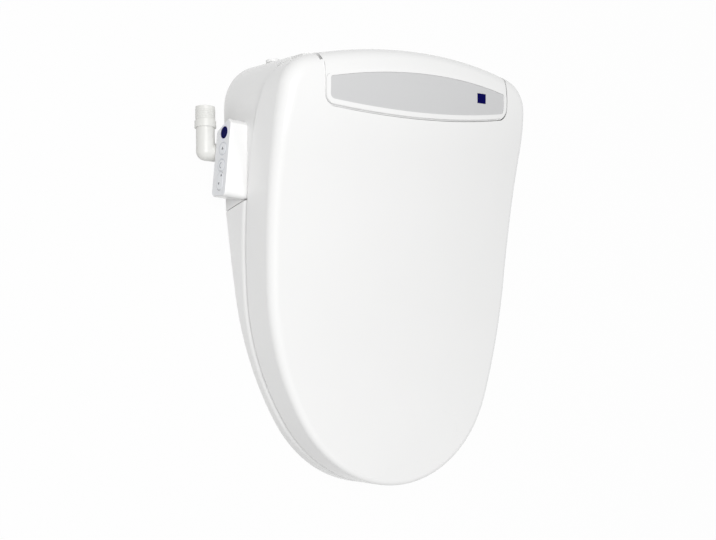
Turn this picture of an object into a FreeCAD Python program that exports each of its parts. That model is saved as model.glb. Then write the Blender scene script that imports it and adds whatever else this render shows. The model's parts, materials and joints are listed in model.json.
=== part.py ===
import FreeCAD, Part
import Sketcher
import functools
import math
import os

from FreeCAD import Placement, Rotation, Vector

# Electronic bidet seat for a toilet bowl, in millimetres.
# Z is up from the rim of the bowl, the front tip points to -Y and the rear wall to +Y.
# The origin lies on the rim, midway between the two fixing bolts.

DIMENSIONS = {
    # Outline of the lid seen from above: tangent arcs from the tip round to the rear wall
    "tip_reach": 428.0, "rear_reach": 60.0,
    "tip_radius": 158.0, "flank_radius": 371.0, "side_radius": 2463.0,
    "hip_radius": 300.0, "corner_radius": 42.0, "rear_radius": 700.0,
    "tip_turn_deg": 26.9, "flank_turn_deg": 3.76,
    # Heights of the roof along its middle, and how far its sides lie below that
    "roof_tip": 62.0, "roof_low": 63.5, "roof_quarter": 76.0, "roof_middle": 100.0,
    "roof_rise": 119.5, "roof_brow": 139.0, "roof_top": 146.0, "roof_fall": 141.5,
    "roof_end": 128.0, "crown_tip": 1.0, "crown_low": 3.9, "crown_quarter": 7.5,
    "crown_middle": 11.6, "crown_rise": 13.9, "crown_brow": 16.0, "crown_top": 14.5,
    "half_span": 185.0,
    # Line where the lid parts from the seat and from the housing
    "parting_tip": 34.0, "parting_middle": 25.5, "parting_rear": 78.0,
    "parting_tip_y": 428.0, "parting_middle_y": 218.0, "parting_rear_y": 8.0,
    # Lid
    "lid_wall": 3.2, "lid_edge_tip": 3.6, "lid_edge_rear": 17.0, "notch_gap": 1.8,
    "lip_thickness": 1.0, "lip_length": 3.0, "web_thickness": 5.0, "web_gap": 1.2,
    "web_front": 40.0, "web_rear": 24.0, "eye_radius": 8.0, "lid_bumper_radius": 6.0,
    "lid_bumper_height": 3.0, "bumper_front_x": 96.0, "bumper_front_y": 345.0,
    "bumper_rear_x": 145.0, "bumper_rear_y": 165.0, "rest_gap": 0.3,
    # Hinge axis, shafts and the room that the lid swings through
    "hinge_y": 30.0, "hinge_z": 104.0, "shaft_radius": 5.0, "running_clear": 0.05,
    "shaft_half_flat": 3.8, "arm_thickness": 10.0, "arm_gap": 2.2, "arm_eye_radius": 9.5,
    "arm_root_y": 114.0, "arm_root_low": 26.0, "arm_root_high": 40.0, "arm_under_deg": 34.0,
    "barrel_radius": 11.0, "barrel_length": 34.0, "barrel_cap": 4.0, "boss_wall": 3.4,
    "boss_length": 20.0, "swing_radius": 36.0, "swing_start": 9.0, "swing_open_deg": 103.0,
    "eye_clear": 1.4,
    "channel_clear": 1.6,
    # Seat ring
    "seat_wall": 3.0, "seat_bottom": 4.0, "seat_drop": 0.8, "dish_depth": 6.0,
    "seat_rear": 104.0, "seam_gap": 1.4, "seam_lean": 10.0, "seam_height": 50.0,
    "hole_y": 250.0, "hole_half_length": 116.0, "hole_half_width": 108.0,
    "hole_round": 8.0, "arch_half_width": 46.0, "arch_height": 28.0,
    "heater_thickness": 0.6, "heater_inset": 9.0, "fit_gap": 0.2, "seat_plate": 3.0,
    "bumper_radius": 9.0,
    # Housing
    "housing_bottom": 3.0, "housing_wall": 3.0, "split_height": 30.0,
    "front_half": 184.0, "foot_corner_x": 119.0, "foot_corner_radius": 58.0,
    "foot_rear": 66.0, "foot_rear_radius": 2500.0, "brow_corner_x": 124.0,
    "brow_corner_radius": 62.0, "column_top": 160.0, "shoulder_drop": 2.2,
    "block_half": 136.6, "block_front": 17.0, "block_front_radius": 974.0,
    "block_corner": 12.0, "block_rear_corner": 4.0,
    # Silver inlay in its rim, and the small window
    "rim_inset": 0.5, "rim_width": 4.9, "rim_rear_y": 33.5, "rim_proud": 0.6,
    "rim_depth": 2.6, "panel_rear_y": 31.0, "panel_rear_radius": 760.0,
    "panel_corner": 6.0, "panel_thickness": 1.6, "panel_sink": 0.3,
    "window_x": 88.5, "window_y": 11.5, "window_width": 15.0, "window_length": 11.2,
    "display_half": 9.0,
    "window_proud": 0.2, "window_depth": 8.0,
    # Control box on the side, its label and its keys
    "box_x": 205.8, "box_y": 52.0, "box_z": 36.2, "box_turn_deg": 7.8, "box_tilt_deg": 4.4,
    "box_half_height": 13.85, "box_front": 40.0, "box_rear_low": 31.0,
    "box_rear_tip": 43.0, "box_rear_top": 38.0, "box_tip_height": 8.0, "box_depth": 44.0,
    "box_wall": 2.4, "box_corner": 5.5, "box_edge": 3.0, "label_inset": 0.8,
    "label_thickness": 0.5, "power_radius": 6.4, "key_radius": 6.0, "key_travel": 1.2,
    "key_flange": 0.6,
    "key_proud": 0.3, "key_gap": 0.3, "key_length": 6.0, "key_rise": 1.6,
    "power_s": 28.2, "up_s": 11.0, "stop_s": -7.0, "rocker_s": -23.8,
    "rocker_half_length": 9.5, "rocker_half_width": 5.5, "rocker_pin": 1.0, "rocker_gap": 0.6,
    "lug_width": 1.6, "board_thickness": 1.6, "switch_side": 6.0, "switch_height": 3.4,
    # Inlet elbow, its spigot and strainer
    "inlet_y": 42.5, "inlet_z": 12.2, "inlet_out": 30.8, "inlet_radius": 10.0,
    "inlet_bore": 7.0, "collar_radius": 11.6, "collar_width": 7.2, "collar_at": 25.6,
    "spout_end": 48.4, "thread_radius": 10.48, "wall_turn_deg": 4.5,
    "spigot_radius": 8.5, "spigot_length": 14.0, "spigot_flange": 3.0,
    "strainer_length": 8.0, "strainer_wall": 1.0, "nipple_radius": 6.0,
    "nipple_end": 16.0, "nipple_bore": 4.0,
    # Mounting plate and its bolt slots
    "plate_half": 97.0, "plate_half_depth": 30.0, "plate_thickness": 9.0,
    "bolt_spacing": 150.0, "slot_length": 34.0, "slot_width": 11.0, "counter_width": 24.0,
    "counter_depth": 4.5, "plate_clear": 0.5, "plate_corner": 6.0,
    # Nozzles and what carries them
    "nozzle_tilt_deg": 25.0, "nozzle_tip_y": 97.0, "nozzle_tip_z": 17.0,
    "nozzle_length": 112.0, "nozzle_radius": 5.5, "nozzle_bore": 2.5,
    "nozzle_spacing": 17.0,
    "nozzle_clear": 0.35, "nozzle_head": 7.0, "cylinder_start": 9.0, "cylinder_cap": 4.0,
    "cylinder_wall": 2.6, "saddle_front": -80.0, "saddle_rear": -70.0,
    "spray_hole": 1.2, "shroud_length": 4.5, "shroud_half": 20.0, "shroud_low": 7.0,
    "shroud_high": 26.0, "shroud_proud": 1.0,
    # Inner pieces
    "tank_x": 92.0, "tank_length": 58.0, "tank_front": 6.0, "tank_depth": 50.0,
    "tank_height": 78.0, "tank_edge": 8.0,
    "blower_x": 66.0, "blower_y": 15.0, "blower_radius": 30.0, "blower_height": 30.0,
    "blower_wall": 2.0, "fan_radius": 25.0, "fan_hub": 8.0, "fan_height": 18.0,
    "fan_blades": 12, "fan_blade": 1.6, "fan_clear": 0.6, "fan_shaft": 2.0,
    "motor_radius": 12.0, "motor_height": 20.0,
    "filter_width": 44.0, "filter_height": 20.0, "filter_length": 62.0, "filter_y": 62.0,
    "filter_clear": 0.5, "filter_wall": 1.6, "filter_low": 8.0,
    "board_x": 92.0, "board_y": 52.0, "board_height": 62.0, "part_height": 3.2,
    "valve_x": 152.0, "valve_side": 26.0, "valve_height": 20.0, "coil_radius": 10.0,
    "coil_height": 18.0,
    "pump_x": 100.0, "pump_y": 86.0, "pump_radius": 14.0, "pump_length": 38.0,
    "transformer_x": 77.0, "transformer_y": 67.0, "transformer_side": 34.0, "transformer_height": 36.0,
    "hose_radius": 4.0, "hose_bend": 10.0, "hose_run_x": 112.0, "hose_height": 13.0,
    "gland_x": 112.0, "gland_z": 20.0,
    "gland_radius": 7.0, "gland_length": 14.0, "gland_bore": 3.6,
    "plug_x": 118.0, "plug_radius": 6.0,
    # Feet and fixings
    "foot_radius": 8.0, "foot_x": 150.0, "foot_front_y": 84.0, "foot_back_x": 140.0,
    "foot_back_y": 38.0, "screw_front_x": 126.0, "screw_front_y": 93.0,
    "screw_back_x": 117.0, "screw_back_y": 46.0, "screw_radius": 2.0, "screw_head_radius": 4.0,
    "screw_head_height": 2.4, "screw_length": 22.0, "post_radius": 5.0,
    "overrun": 20.0,
}

ROOF_Y_SHARES = [-1.0514, -1.0, -0.7664, -0.5327, -0.2991, -0.1589, -0.0421, 0.0724,
                 0.1215, 0.1822]
ROOF_X_SHARES = [-1.1, -0.55, 0.0, 0.55, 1.1]
DISH_SHARES = [0.0, 1.3, 1.0]
EDGE_RADIUS_SHARES = [0.0, 0.1, 0.3, 0.5, 0.75, 0.95, 1.0]
SIDES = (-1, 1)
ORIGIN = Vector(0, 0, 0)
AXIS_X = Vector(1, 0, 0)
AXIS_Y = Vector(0, 1, 0)
AXIS_Z = Vector(0, 0, 1)
RIGHT_ANGLE_DEG = 90
RIGHT_ANGLE = math.pi / 2

doc = FreeCAD.newDocument("bidet_seat")
sheet = doc.addObject("Spreadsheet::Sheet", "dims")
for row, (alias, value) in enumerate(DIMENSIONS.items(), start=1):
    sheet.set("A%d" % row, alias)
    sheet.set("B%d" % row, str(value))
    sheet.setAlias("B%d" % row, alias)
doc.recompute()

pieces = []


def size(alias):
    """Value of a named cell of the sheet."""
    return float(sheet.get(alias))


def keep(label, shape, placement=None):
    """Adds a finished shape to the document as a piece of its own."""
    piece = doc.addObject("Part::Feature", label)
    piece.Label = label
    piece.Shape = shape
    if placement is not None:
        piece.Placement = placement
    pieces.append(piece)
    return piece


# Objects of the document whose sizes follow the sheet


def drum(radius, length, place):
    """Adds a cylinder along its own Z, with rules over the sheet's cells for its sizes."""
    item = doc.addObject("Part::Cylinder", "drum")
    item.setExpression("Radius", radius)
    item.setExpression("Height", length)
    item.Placement = place
    return item


def brick(length, width, height, corner):
    """Adds a box from its lowest corner, with rules over the sheet's cells for its sizes."""
    item = doc.addObject("Part::Box", "brick")
    for name, rule in zip(("Length", "Width", "Height"), (length, width, height)):
        item.setExpression(name, rule)
    item.Placement = upright(corner)
    return item


def upright(place):
    """Placement that only moves."""
    return Placement(place, Rotation())


def along_x(x, y, z):
    """Placement that lays a cylinder along +X from a point."""
    return Placement(Vector(x, y, z), Rotation(AXIS_Y, RIGHT_ANGLE_DEG))


def united(*items):
    """Adds the union of some objects."""
    item = doc.addObject("Part::MultiFuse", "united")
    item.Shapes = list(items)
    return item


def grouped(*items):
    """Adds a group of separate solids as one object."""
    item = doc.addObject("Part::Compound", "grouped")
    item.Links = list(items)
    return item


def reduced(base, tool):
    """Adds what is left of an object without another."""
    item = doc.addObject("Part::Cut", "reduced")
    item.Base, item.Tool = base, tool
    return item


def shared(base, tool):
    """Adds what two objects share."""
    item = doc.addObject("Part::Common", "shared")
    item.Base, item.Tool = base, tool
    return item


def softened(kind, base, depth, is_wanted):
    """Adds a chamfer or fillet on the edges of an object that a test picks."""
    base.recompute()
    numbers = [n for n, edge in enumerate(base.Shape.Edges, start=1) if is_wanted(edge)]
    item = doc.addObject("Part::" + kind, "softened")
    item.Base = base
    item.Edges = [(number, depth, depth) for number in numbers]
    return item


def adopt(label, item):
    """Makes an object of the document a piece of its own."""
    item.Label = label
    pieces.append(item)
    return item


# Outlines and surfaces that several pieces share


def heading(turn):
    """Unit vector square to the outline where its tangent has this turn from +Y."""
    return Vector(math.cos(turn), -math.sin(turn), 0)


def bend(centre, radius, start, end):
    """Arc of the outline about a centre, between two turns."""
    middle = (start + end) / 2
    return Part.Arc(centre + heading(start) * radius, centre + heading(middle) * radius,
                    centre + heading(end) * radius).toShape()


def lid_side(inset):
    """Arcs of the right half of the lid's outline, from the tip to the rear."""
    tip, flank, side = size("tip_radius"), size("flank_radius"), size("side_radius")
    hip, corner, rear = size("hip_radius"), size("corner_radius"), size("rear_radius")
    tip_turn = math.radians(size("tip_turn_deg"))
    flank_turn = math.radians(size("flank_turn_deg"))
    tip_centre = Vector(0, tip - size("tip_reach"), 0)
    flank_centre = tip_centre + heading(tip_turn) * (tip - flank)
    side_centre = flank_centre + heading(flank_turn) * (flank - side)
    hip_centre = side_centre + heading(0) * (side - hip)
    rear_centre = Vector(0, size("rear_reach") - rear, 0)
    corner_centre = outer_meeting(hip_centre, hip - corner, rear_centre, rear - corner)
    hip_turn = turn_towards(hip_centre, corner_centre)
    corner_turn = turn_towards(rear_centre, corner_centre)
    return [
        bend(tip_centre, tip - inset, RIGHT_ANGLE, tip_turn),
        bend(flank_centre, flank - inset, tip_turn, flank_turn),
        bend(side_centre, side - inset, flank_turn, 0),
        bend(hip_centre, hip - inset, 0, hip_turn),
        bend(corner_centre, corner - inset, hip_turn, corner_turn),
        bend(rear_centre, rear - inset, corner_turn, -RIGHT_ANGLE),
    ]


def outer_meeting(first, first_radius, second, second_radius):
    """The point, on the side of +X, at given distances from two centres."""
    span = second - first
    along = (first_radius ** 2 - second_radius ** 2 + span.Length ** 2) / (2 * span.Length)
    across = math.sqrt(first_radius ** 2 - along ** 2)
    unit = span * (1 / span.Length)
    square = Vector(-unit.y, unit.x, 0)
    corners = [first + unit * along + square * across, first + unit * along - square * across]
    return max(corners, key=lambda corner: corner.x)


def turn_towards(start, end):
    """Turn of the outline whose square points from one centre to another."""
    return -math.atan2(end.y - start.y, end.x - start.x)


def closed(edges):
    """Face inside a ring of edges, given in any order."""
    return Part.Face(Part.Wire(Part.__sortEdges__(edges)))


def both_halves(edges):
    """Edges of the right half together with their mirror images."""
    return edges + [edge.mirror(ORIGIN, AXIS_X) for edge in edges]


def column(face, low, high):
    """Upright solid over a flat face, between two heights."""
    solid = face.extrude(AXIS_Z * (high - low))
    solid.translate(AXIS_Z * low)
    return solid


def slab_below(face):
    """Everything below a face, down past the lowest piece."""
    return face.extrude(AXIS_Z * (-2 * size("column_top")))


def roof_face(drop):
    """Top surface shared by the lid and the housing's middle, lowered by a drop."""
    rows = ["tip", "tip", "low", "quarter", "middle", "rise", "brow", "top", "fall", "end"]
    grid = []
    for share, row in zip(ROOF_Y_SHARES, rows):
        ridge = size("roof_" + row)
        crown = size("crown_" + (row if row not in ("fall", "end") else "top"))
        grid.append([Vector(across * size("half_span"), share * size("tip_reach"),
                            ridge - crown * across ** 2 - drop) for across in ROOF_X_SHARES])
    surface = Part.BSplineSurface()
    surface.interpolate(grid)
    return surface.toShape()


def parting_height(y):
    """Height of the line where the lid parts from what lies below it."""
    stations = [(-size("parting_tip_y"), size("parting_tip")),
                (-size("parting_middle_y"), size("parting_middle")),
                (-size("parting_rear_y"), size("parting_rear"))]
    height = 0
    for own_y, own_height in stations:
        share = 1
        for other_y, _ in stations:
            if other_y != own_y:
                share *= (y - other_y) / (own_y - other_y)
        height += own_height * share
    return height


def parting_face(drop, dish):
    """Surface through the parting line, lowered by a drop and dished along its middle."""
    front, rear = dish_ends()
    half = size("half_span") + size("overrun")
    ends = [parting_height(front), parting_height(rear)]
    middle = 2 * parting_height((front + rear) / 2) - sum(ends) / 2
    rim = dish * ((half / size("half_span")) ** 2 - 1)
    valley = -2 * dish - rim
    rows = [(front, ends[0]), ((front + rear) / 2, middle), (rear, ends[1])]
    surface = Part.BezierSurface()
    surface.increase(2, 2)
    for i, (x, lift) in enumerate([(-half, rim), (0, valley), (half, rim)], start=1):
        for j, ((y, height), share) in enumerate(zip(rows, DISH_SHARES), start=1):
            surface.setPole(i, j, Vector(x, y, height + lift * share - drop))
    return surface.toShape()


def dish_ends():
    """Front and rear ends of the dished surface."""
    return (-size("tip_reach") - size("overrun"), size("rear_reach") + size("overrun"))


def dish_share(y):
    """How much of the dish's depth applies at this distance from the tip."""
    front, rear = dish_ends()
    along = (y - front) / (rear - front)
    parts = ((1 - along) ** 2, 2 * along * (1 - along), along ** 2)
    return sum(part * share for part, share in zip(parts, DISH_SHARES))


def pillow(half, front, front_radius, rear, rear_radius, corner, rear_corner):
    """Face with straight sides, bowed front and rear, and round corners."""
    front_centre = Vector(0, front + front_radius, 0)
    rear_centre = Vector(0, rear - rear_radius, 0)
    low = Vector(half - corner, front_centre.y
                 - math.sqrt((front_radius - corner) ** 2 - (half - corner) ** 2), 0)
    high = Vector(half - rear_corner, rear_centre.y
                  + math.sqrt((rear_radius - rear_corner) ** 2 - (half - rear_corner) ** 2), 0)
    low_turn = turn_towards(front_centre, low)
    high_turn = turn_towards(rear_centre, high)
    return closed(both_halves([
        bend(front_centre, front_radius, RIGHT_ANGLE, low_turn),
        bend(low, corner, low_turn, 0),
        Part.makeLine(low + heading(0) * corner, high + heading(0) * rear_corner),
        bend(high, rear_corner, 0, high_turn),
        bend(rear_centre, rear_radius, high_turn, -RIGHT_ANGLE),
    ]))


def half_space(side):
    """A large box on one side of the middle plane."""
    reach = 2 * (size("tip_reach") + size("column_top"))
    box = Part.makeBox(reach, 2 * reach, 2 * reach, Vector(0, -reach, -reach))
    return box if side > 0 else box.mirror(ORIGIN, AXIS_X)


def band(low_x, high_x, low_y, high_y, low_z, high_z):
    """Box between two corners."""
    return Part.makeBox(high_x - low_x, high_y - low_y, high_z - low_z,
                        Vector(low_x, low_y, low_z))


def side_plate(points, low_x, high_x):
    """Plate whose outline lies in the plane of Y and Z."""
    ring = [Vector(low_x, y, z) for y, z in points]
    face = Part.Face(Part.makePolygon(ring + ring[:1]))
    return face.extrude(AXIS_X * (high_x - low_x))


def rod(radius, low_x, high_x, y, z):
    """Round bar along X."""
    return Part.makeCylinder(radius, high_x - low_x, Vector(low_x, y, z), AXIS_X)


def hinge_rod(radius, low_x, high_x):
    """Round bar on the hinge axis."""
    return rod(radius, low_x, high_x, size("hinge_y"), size("hinge_z"))


def on_side(side, low_x, high_x):
    """Limits along X of something that lies this far out on one side."""
    return (low_x, high_x) if side > 0 else (-high_x, -low_x)


# Lid


@functools.lru_cache(maxsize=None)
def hood_form(inset):
    """The lid's outer form, or its hollow, with an edge that rounds off to the rear."""
    outline = closed(both_halves(lid_side(inset)))
    form = column(outline, -size("overrun"), 2 * size("column_top"))
    form = form.common(slab_below(roof_face(inset))).common(half_space(1)).Solids[0]
    half = round_brow(form, inset)
    return half.fuse(half.mirror(ORIGIN, AXIS_X))


def round_brow(form, inset):
    """Half of the hood with its top edge rounded, a little at the tip and more to the rear."""
    roof = roof_face(inset)
    numbered = [(edge.CenterOfMass.y, number) for number, edge in enumerate(form.Edges, start=1)
                if runs_along(edge, roof)]
    span = size("lid_edge_rear") - size("lid_edge_tip")
    radii = [size("lid_edge_tip") + share * span - inset * (1 + share) / 2
             for share in EDGE_RADIUS_SHARES]
    base = doc.addObject("Part::Feature", "brow_base")
    base.Shape = form
    brow = doc.addObject("Part::Fillet", "brow")
    brow.Base = base
    brow.Edges = [(number, radii[index + 1], radii[index])
                  for index, (_, number) in enumerate(sorted(numbered))]
    brow.recompute()
    rounded = brow.Shape.Solids[0].copy()
    doc.removeObject(brow.Name)
    doc.removeObject(base.Name)
    return rounded


def runs_along(edge, face):
    """Whether an edge lies on a face and leaves the middle plane."""
    tolerance = size("running_clear") / 2
    points = edge.discretize(5)
    on_face = all(face.distToShape(Part.Vertex(point))[0] < tolerance for point in points)
    return on_face and max(abs(point.x) for point in points) > tolerance


def lid_notch(gap, low):
    """Room in the lid for the middle of the housing."""
    face = pillow(size("block_half") + gap, -size("block_front") - gap,
                  size("block_front_radius") + gap, size("column_top"),
                  size("block_front_radius"), size("block_corner") + gap,
                  size("block_rear_corner"))
    return column(face, low, size("column_top"))


def lid_webs():
    """Inner ribs that carry the hinge eyes of the lid."""
    inner = web_start()
    outer = inner + size("web_thickness")
    y, z, radius = size("hinge_y"), size("hinge_z"), size("eye_radius")
    webs = []
    for side in SIDES:
        limits = on_side(side, inner, outer)
        plate = band(*limits, y - size("web_front"), y + size("web_rear"), z + radius / 2,
                     size("column_top"))
        webs.append(plate.fuse(hinge_rod(radius, *limits)))
    return webs


def web_start():
    """Distance of the lid's webs from the middle plane."""
    return arm_start() + size("arm_thickness") + size("web_gap")


def arm_start():
    """Distance of the seat's arms from the middle plane."""
    return size("block_half") + size("arm_gap")


def bumper_places():
    """Places of the four bumpers, two near the tip and two near the rear."""
    return [(side * size("bumper_%s_x" % end), -size("bumper_%s_y" % end))
            for end in ("front", "rear") for side in SIDES]


def lid_bumper_base(x, y):
    """Height at which the lid's post hands over to its rubber bumper."""
    radius = size("lid_bumper_radius")
    rim = [seat_top_at(x + side * radius, y + end * radius) for side in SIDES for end in SIDES]
    return max(rim) + size("rest_gap") + size("lid_bumper_height")


def make_lid():
    """Moulded lid: a hollow hood with a notch, two hinge webs and four bumper posts."""
    wall = size("lid_wall")
    hood = hood_form(0)
    shell = hood.cut(hood_form(wall)).cut(slab_below(parting_face(0, 0)))
    shell = shell.cut(lid_notch(size("notch_gap"), -size("overrun")))
    rebate = lid_notch(size("notch_gap") + size("lip_length"), -size("overrun"))
    shell = shell.cut(rebate.common(slab_below(roof_face(size("lip_thickness")))))
    for web in lid_webs():
        shell = shell.fuse(web.common(hood))
    for x, y in bumper_places():
        low = lid_bumper_base(x, y)
        post = Part.makeCylinder(size("lid_bumper_radius"), size("column_top"),
                                 Vector(x, y, low)).common(hood)
        shell = shell.fuse(post)
    shell = shell.cut(lid_shaft_key()).cut(lid_shaft_room())
    return keep("lid", shell.cut(seat_shaft_bore()))


def lid_shaft_key():
    """Flat-sided end of the left shaft, which turns with the lid."""
    return keyed_rod(*on_side(-1, web_start(), web_start() + size("web_thickness")))


def lid_shaft_room():
    """Way of the left shaft from the housing to its web, clear of the lid."""
    limits = on_side(-1, arm_start(), web_start())
    return hinge_rod(size("shaft_radius") + size("running_clear"), *limits)


def seat_shaft_bore():
    """Round hole in the right web, which turns on the end of the seat's shaft."""
    limits = on_side(1, web_start() - size("overrun") / 2, web_start() + size("overrun") / 2)
    return hinge_rod(size("shaft_radius") + size("running_clear"), *limits)


def keyed_rod(low_x, high_x):
    """Length of hinge shaft with two flats."""
    y, z = size("hinge_y"), size("hinge_z")
    flat, radius = size("shaft_half_flat"), size("shaft_radius")
    return hinge_rod(radius, low_x, high_x).common(
        band(low_x, high_x, y - flat, y + flat, z - radius, z + radius))


def make_lid_bumpers():
    """Four rubber bumpers that keep the lid off the seat."""
    height = size("lid_bumper_height")
    places = [Vector(x, y, lid_bumper_base(x, y) - height) for x, y in bumper_places()]
    adopt("lid_bumpers", grouped(*[rubber_foot("lid_bumper_radius", "lid_bumper_height", place)
                                   for place in places]))


def rubber_foot(radius, height, place):
    """Round rubber foot with a chamfer round its lower edge."""
    post = drum("dims." + radius, "dims." + height, upright(place))
    low = place.z + size("fit_gap")
    return softened("Chamfer", post, size(height) / 4,
                    lambda edge: edge.BoundBox.ZMax < low)


# Seat


def seat_top_at(x, y):
    """Height of the seat's dished top face at a place."""
    depth = size("dish_depth") * dish_share(y) * (1 - (x / size("half_span")) ** 2)
    return parting_height(y) - size("seat_drop") - depth


def seat_hole(grow, low, high):
    """Egg-shaped opening of the seat, as an upright solid."""
    ellipse = Part.Ellipse(Vector(0, -size("hole_y") + size("hole_half_length") + grow, 0),
                           Vector(size("hole_half_width") + grow, -size("hole_y"), 0),
                           Vector(0, -size("hole_y"), 0))
    return column(Part.Face(Part.Wire([ellipse.toShape()])), low, high)


def seam_points(gap, high):
    """Slanted line where the seat ends in front of the housing, from below to above."""
    slope = size("seam_lean") / size("seam_height")
    low = -size("overrun")
    return [(-size("seat_rear") - gap + slope * low, low),
            (-size("seat_rear") - gap + slope * high, high)]


def seat_form(inset, low, top_drop):
    """The seat ring's solid form from a bottom height up to its dished top."""
    top = slab_below(parting_face(size("seat_drop") + top_drop, size("dish_depth")))
    return seat_column(inset, low).common(top)


def seat_column(inset, low):
    """Everything over the seat's outline, up to the slanted seam at its rear."""
    form = column(closed(both_halves(lid_side(inset))), low, size("column_top"))
    high = size("column_top")
    front = -size("tip_reach") - size("overrun")
    limits = [(front, -size("overrun"))] + seam_points(size("seam_gap") + inset, high)
    limits.append((front, high))
    half = size("half_span") + size("overrun")
    return form.common(side_plate(limits, -half, half))


def seat_arms():
    """Two arms that reach back over the housing to the hinge axis."""
    y, z, radius = size("hinge_y"), size("hinge_z"), size("arm_eye_radius")
    root = -size("arm_root_y")
    under = math.radians(size("arm_under_deg"))
    outline = [(root, size("arm_root_low")),
               (y - radius * math.sin(under), z - radius * math.cos(under)),
               (y, z + radius), (root, size("arm_root_high"))]
    arms = []
    for side in SIDES:
        limits = on_side(side, arm_start(), arm_start() + size("arm_thickness"))
        arms.append(side_plate(outline, *limits).fuse(hinge_rod(radius, *limits)))
    return arms


def make_seat():
    """Top shell of the seat with its opening and hinge arms."""
    wall, low = size("seat_wall"), size("seat_bottom")
    solid = seat_form(0, low, 0).cut(seat_hole(0, -size("overrun"), size("column_top")))
    mouth = [edge for edge in solid.Edges if is_mouth(edge)]
    solid = solid.makeFillet(size("hole_round"), mouth)
    hollow = seat_form(wall, -size("overrun"), wall)
    hollow = hollow.cut(seat_hole(wall, -size("overrun"), size("column_top")))
    shell = solid.cut(hollow)
    for arm in seat_arms():
        shell = shell.fuse(arm)
    half = size("arch_half_width")
    arch = band(-half, half, -size("seat_rear") - size("hole_half_length"), 0,
                -size("overrun"), size("arch_height"))
    rear = band(-half, half, -size("hole_y"), 0, -size("overrun"), size("arch_height"))
    shell = shell.cut(arch.common(rear))
    shell = shell.cut(lid_shaft_bore()).cut(seat_shaft_key())
    return keep("seat_ring", shell)


def is_mouth(edge):
    """Whether an edge is the upper rim of the seat's opening."""
    box = edge.BoundBox
    inside = box.XMax < size("hole_half_width") + size("seat_wall")
    return inside and box.ZMin > size("seat_bottom") + size("seat_wall") and box.XLength > 1


def lid_shaft_bore():
    """Round hole in the left arm for the lid's shaft."""
    limits = on_side(-1, arm_start() - size("overrun") / 2, web_start() - size("web_gap") / 2)
    return hinge_rod(size("shaft_radius") + size("running_clear"), *limits)


def seat_shaft_key():
    """Flat-sided part of the right shaft, which turns with the seat."""
    return keyed_rod(*on_side(1, arm_start(), arm_start() + size("arm_thickness")))


def make_seat_base():
    """Bottom plate that closes the seat ring."""
    gap, thick = size("fit_gap"), size("seat_plate")
    inset = size("seat_wall") + gap
    low = size("seat_bottom")
    plate = seat_form(inset, low, 0).cut(seat_hole(inset, -size("overrun"), size("column_top")))
    reach = size("tip_reach") + size("overrun")
    plate = plate.common(band(-reach, reach, -reach, reach, low, low + thick))
    half = size("arch_half_width") + gap
    keep("seat_base", plate.cut(band(-half, half, -size("hole_y"), 0, 0, size("arch_height"))))


def make_seat_heater():
    """Heating foil under the top of the seat."""
    inset, thick, wall = size("heater_inset"), size("heater_thickness"), size("seat_wall")
    foil = seat_form(inset, size("seat_bottom"), wall)
    foil = foil.cut(seat_form(0, 0, wall + thick))
    foil = foil.cut(seat_hole(inset, 0, size("column_top")))
    half, high = size("arch_half_width") + inset, size("column_top")
    foil = foil.cut(band(-half, half, -size("hole_y"), 0, 0, high))
    reach = 2 * size("half_span")
    rear = -size("arm_root_y") - size("rest_gap")
    keep("seat_heater", foil.cut(band(-reach, reach, rear, reach, 0, high)))


def make_seat_bumpers():
    """Four rubber feet under the seat ring."""
    adopt("seat_bumpers", grouped(*[rubber_foot("bumper_radius", "seat_bottom", Vector(x, y, 0))
                                    for x, y in bumper_places()]))


# Housing


def housing_outline(front_half, corner_x, corner_radius, rear, rear_radius, inset):
    """Outline of the housing: slanted sides, round rear corners and a bowed rear wall."""
    corner_radius, rear_radius = corner_radius - inset, rear_radius - inset
    rear_centre = Vector(0, rear - inset - rear_radius, 0)
    reach = math.sqrt((rear_radius - corner_radius) ** 2 - corner_x ** 2)
    corner = Vector(corner_x, rear_centre.y + reach, 0)
    start = Vector(front_half - inset, -size("seat_rear"), 0)
    span = corner - start
    lean = math.atan2(span.y, span.x) - math.asin(corner_radius / span.Length)
    length = math.sqrt(span.Length ** 2 - corner_radius ** 2)
    touch = start + Vector(math.cos(lean), math.sin(lean), 0) * length
    side_turn = turn_towards(corner, touch)
    rear_turn = turn_towards(rear_centre, corner)
    half = [Part.makeLine(start, touch),
            bend(corner, corner_radius, side_turn, rear_turn),
            bend(rear_centre, rear_radius, rear_turn, -RIGHT_ANGLE)]
    front = Part.makeLine(start, Vector(-start.x, start.y, 0))
    return Part.Wire(Part.__sortEdges__(both_halves(half) + [front]))


def housing_column(inset):
    """Housing's sides and rear, leaning out a little from the foot to the brow."""
    foot = housing_outline(size("front_half"), size("foot_corner_x"),
                           size("foot_corner_radius"), size("foot_rear"),
                           size("foot_rear_radius"), inset)
    brow = housing_outline(size("front_half"), size("brow_corner_x"),
                           size("brow_corner_radius"), size("rear_reach"),
                           size("rear_radius"), inset)
    foot.translate(AXIS_Z * size("housing_bottom"))
    brow.translate(AXIS_Z * size("column_top"))
    return Part.makeLoft([foot, brow], True, True)


def behind_seam(inset):
    """Everything behind the slanted seam between seat and housing."""
    half = size("half_span") + size("overrun")
    rear = size("rear_reach") + size("overrun")
    points = seam_points(-inset, size("column_top"))
    return side_plate(points + [(rear, points[1][1]), (rear, points[0][1])], -half, half)


def outside_block(cutter):
    """The two parts of a cutter that lie beside the middle block."""
    half, high = size("block_half"), 2 * size("column_top")
    return cutter.cut(band(-half, half, -high, high, -high, high))


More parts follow.
